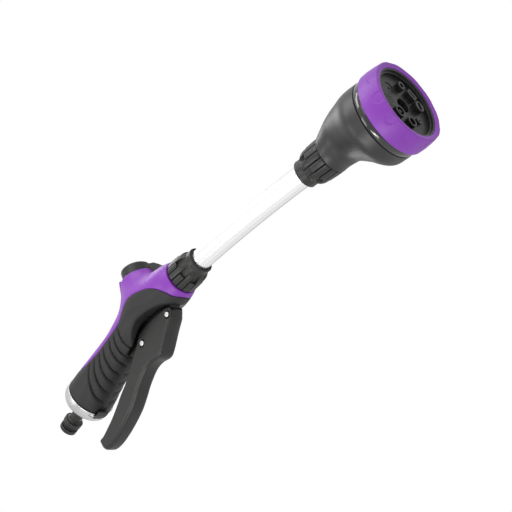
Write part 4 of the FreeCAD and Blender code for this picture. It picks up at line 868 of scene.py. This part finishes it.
# ---------------------------------------------------------------- trigger lever
# side views, (x, z): the lower face, the face towards the handle, the hollow
LEVER_OUTER = [
    (186.5, 19.9), (184.7, 15.3), (181.5, 10.7), (170.5, 1.7), (160.9, -6.4), (157.4, -9.1),
    (153.2, -10.2), (144.9, -9.4), (138.2, -9.9), (131.4, -12.3), (120.5, -19.0),
    (111.3, -26.5), (100.6, -34.1), (86.4, -41.0), (74.4, -45.8), (63.0, -48.9),
    (54.0, -49.0), (49.0, -45.8), (46.9, -40.0)]
LEVER_INNER = [
    (48.4, -36.7), (54.0, -35.4), (60.5, -32.6), (72.9, -26.9), (83.9, -20.4), (93.2, -14.2),
    (103.9, -7.8), (109.4, -2.7), (122.1, 7.6), (134.9, 18.7), (140.5, 22.3), (146.8, 24.1),
    (158.2, 25.5), (170.2, 25.7), (180.1, 25.1), (184.5, 23.1)]
LEVER_HOLLOW = [
    (193.2, 32.1), (189.1, 24.1), (185.0, 19.9), (183.2, 16.0), (180.5, 12.7), (168.6, 4.9),
    (158.6, -2.0), (155.4, -4.3), (152.0, -5.4), (144.3, -5.2), (137.1, -6.2), (130.0, -8.9),
    (118.7, -15.8), (109.1, -23.1), (98.3, -30.0), (84.6, -36.5), (73.1, -41.2),
    (62.5, -44.2), (56.8, -44.2), (53.8, -41.6), (54.8, -36.2), (56.4, -31.2), (86.6, 2.0),
    (116.7, 32.1)]
LEVER_HALF_WIDTH = 8.0
HOLLOW_HALF_WIDTH = 5.8
# centre (x, z) and radius
LEVER_HOLES = ((TRIGGER_PIVOT, 2.56), ((139.3, 12.8), 2.52))


def make_trigger():
    cells = HalfGrid(0.5, (44.0, 190.0), 9.6, (-52.5, 29.0))
    y = cells.axes()[1]
    outline = cells.outline(curve_through(LEVER_OUTER + LEVER_INNER, 5, closed=True))
    # the lower face is crowned across its width, more so towards the pivot
    from_inner = cells.line(curve_through(LEVER_INNER, 5))
    from_outer = cells.line(curve_through(LEVER_OUTER, 5))
    lower = smoothstep(-2.0, 2.0, from_inner - from_outer)
    crown = (0.5 + 1.9 * smoothstep(160.0, 178.0, cells.side_x)) * lower
    roll = (1.7 + 1.7 * lower * (1 - smoothstep(142.0, 162.0, cells.side_x)))[:, None, :]
    # the lever narrows to its tip
    half = (LEVER_HALF_WIDTH - 1.2 * (1 - smoothstep(48.0, 96.0, cells.x)))[:, None, None]
    crowned = outline[:, None, :] + crown[:, None, :] * (y / LEVER_HALF_WIDTH) ** 2
    body = rounded_meet(crowned, y - half, roll)
    hollow = meet(cells.outline(LEVER_HOLLOW)[:, None, :], y - HOLLOW_HALF_WIDTH)
    field = soft_meet(body, -hollow, 0.5)
    for centre, radius in LEVER_HOLES:
        away = cells.from_centre(centre)[:, None, :]
        field = meet(field, -(away - radius))
        counterbore = meet(away - 3.7, 7.1 - y)
        field = soft_meet(field, -counterbore, 0.35)
    cells.build(field, "trigger_lever_form", "trigger", "black_plastic", "trigger_lever")


make_handle()
make_ring()
make_trigger()

# ---------------------------------------------------------------- camera
# right, up and back in world axes
VIEW_AXES = ((0.63627526, 0.70258106, -0.31864343), (0.55234779, -0.12652964, 0.8239552),
             (0.53857748, -0.70026431, -0.46857678))
# lance start as seen from the camera, mm along the view axes
LANCE_IN_VIEW = (-49.96235943, -5.52437346, -878.33458926)
RIGHT, UP, BACK = (Vector(axis) for axis in VIEW_AXES)
EYE = Vector([LANCE_START[i] - sum(VIEW_AXES[k][i] * LANCE_IN_VIEW[k] for k in range(3))
              for i in range(3)]) * MM
MID = (cad_lo + cad_hi) / 2

camera_data = bpy.data.cameras.new("camera")
camera = bpy.data.objects.new("camera", camera_data)
bpy.context.scene.collection.objects.link(camera)
camera_data.sensor_width = 36.0
camera_data.lens = 71.5916584371
camera_data.clip_start = 0.05
camera_data.clip_end = 20.0
camera.matrix_world = Matrix(
    [[axis[i] for axis in VIEW_AXES] + [EYE[i]] for i in range(3)] + [[0, 0, 0, 1]])
bpy.context.scene.camera = camera


# ---------------------------------------------------------------- lights
def area(name, where, look, radiance, size, size_y):
    """Soft box of a given radiance, facing a point."""
    light = bpy.data.lights.new(name, "AREA")
    light.shape = "RECTANGLE"
    light.size = size
    light.size_y = size_y
    light.energy = radiance * math.pi * light.size * light.size_y
    ob = bpy.data.objects.new(name, light)
    bpy.context.scene.collection.objects.link(ob)
    ob.location = where
    ob.rotation_mode = "QUATERNION"
    ob.rotation_quaternion = (where - look).to_track_quat("Z", "Y")


def mirror_place(piece, right, up, distance):
    """Spot seen on a piece, and where a light must stand to be mirrored there."""
    ray = (RIGHT * right + UP * up - BACK).normalized()
    mesh = bpy.data.objects[piece].data
    tree = BVHTree.FromPolygons([vertex.co for vertex in mesh.vertices],
                                [tuple(face.vertices) for face in mesh.polygons])
    spot, normal, _, _ = tree.ray_cast(EYE, ray)
    if normal.dot(ray) > 0:
        normal = -normal
    return spot, spot + (ray - 2 * ray.dot(normal) * normal).normalized() * distance


# name, piece, slopes of the view ray to the right and up, distance from the piece,
# radiance, size, size_y
MIRRORED_LIGHTS = (
    ("soft_bell_shoulder", "bell_housing_form", 0.0775884736, 0.1365164282,
     0.75, 2.8, 0.25, 0.25),
    ("soft_bell_rim", "bell_housing_form", 0.1129452464, 0.1129452464,
     0.75, 2.0, 0.20, 0.20),
    ("soft_bell_neck", "bell_housing_form", 0.0962489926, 0.0991953903,
     0.75, 2.4, 0.16, 0.16),
    ("strip_trim_low", "trim_ring_form", 0.1168737767, 0.1193291081,
     0.6, 16.0, 0.05, 0.30),
    ("strip_trim_high", "trim_ring_form", 0.0991953903, 0.1532126820,
     0.6, 5.0, 0.14, 0.42),
    ("soft_trigger", "trigger_lever_form", -0.1173648430, -0.1276772350,
     0.8, 3.2, 0.34, 0.34))
for name, piece, right, up, distance, radiance, size, size_y in MIRRORED_LIGHTS:
    spot, where = mirror_place(piece, right, up, distance)
    area(name, where, spot, radiance, size, size_y)
area("key", MID + BACK * 0.9 + UP * 0.75 + RIGHT * -0.55, MID,
     radiance=2.0, size=0.6, size_y=0.6)


# ---------------------------------------------------------------- surroundings
def make_world():
    """Pure white to the camera; to the object a white room, brighter overhead."""
    world = bpy.data.worlds.new("studio")
    bpy.context.scene.world = world
    world.use_nodes = True
    add, link = node_tools(world.node_tree)
    white = (1, 1, 1, 1)
    backdrop = add("ShaderNodeBackground", {0: white, 1: 1.0})
    room = add("ShaderNodeBackground", {0: white})
    texture = add("ShaderNodeTexCoord")
    brightest = (UP * 0.9 + RIGHT * -0.45 + BACK * 0.25).normalized()
    facing = add("ShaderNodeVectorMath",
                 {0: texture.outputs["Generated"], 1: tuple(brightest)}, operation="DOT_PRODUCT")
    strength = add("ShaderNodeMapRange", {
        "Value": facing.outputs["Value"], "From Min": -1.0, "From Max": 1.0,
        "To Min": 0.42, "To Max": 1.12})
    link(strength.outputs[0], room.inputs[1])
    light_path = add("ShaderNodeLightPath")
    blend = add("ShaderNodeMixShader", {
        0: light_path.outputs["Is Camera Ray"], 1: room.outputs[0], 2: backdrop.outputs[0]})
    add("ShaderNodeOutputWorld", {0: blend.outputs[0]})


def make_floor():
    """Pale floor well below the object, seen from its upper side only."""
    material = bpy.data.materials.new("floor_pale")
    material.use_nodes = True
    add, _ = node_tools(material.node_tree)
    pale = add("ShaderNodeBsdfDiffuse", {0: (0.86, 0.86, 0.86, 1)})
    clear = add("ShaderNodeBsdfTransparent")
    geometry = add("ShaderNodeNewGeometry")
    blend = add("ShaderNodeMixShader", {
        0: geometry.outputs["Backfacing"], 1: pale.outputs[0], 2: clear.outputs[0]})
    add("ShaderNodeOutputMaterial", {0: blend.outputs[0]})
    plane = bmesh.new()
    bmesh.ops.create_grid(plane, x_segments=2, y_segments=2, size=4.0)
    mesh = bpy.data.meshes.new("floor")
    plane.to_mesh(mesh)
    plane.free()
    floor = bpy.data.objects.new("floor", mesh)
    floor.location = (0.25, 0, -0.62)
    mesh.materials.append(material)
    bpy.context.scene.collection.objects.link(floor)


make_world()
bpy.context.scene.view_settings.view_transform = "Standard"
make_floor()
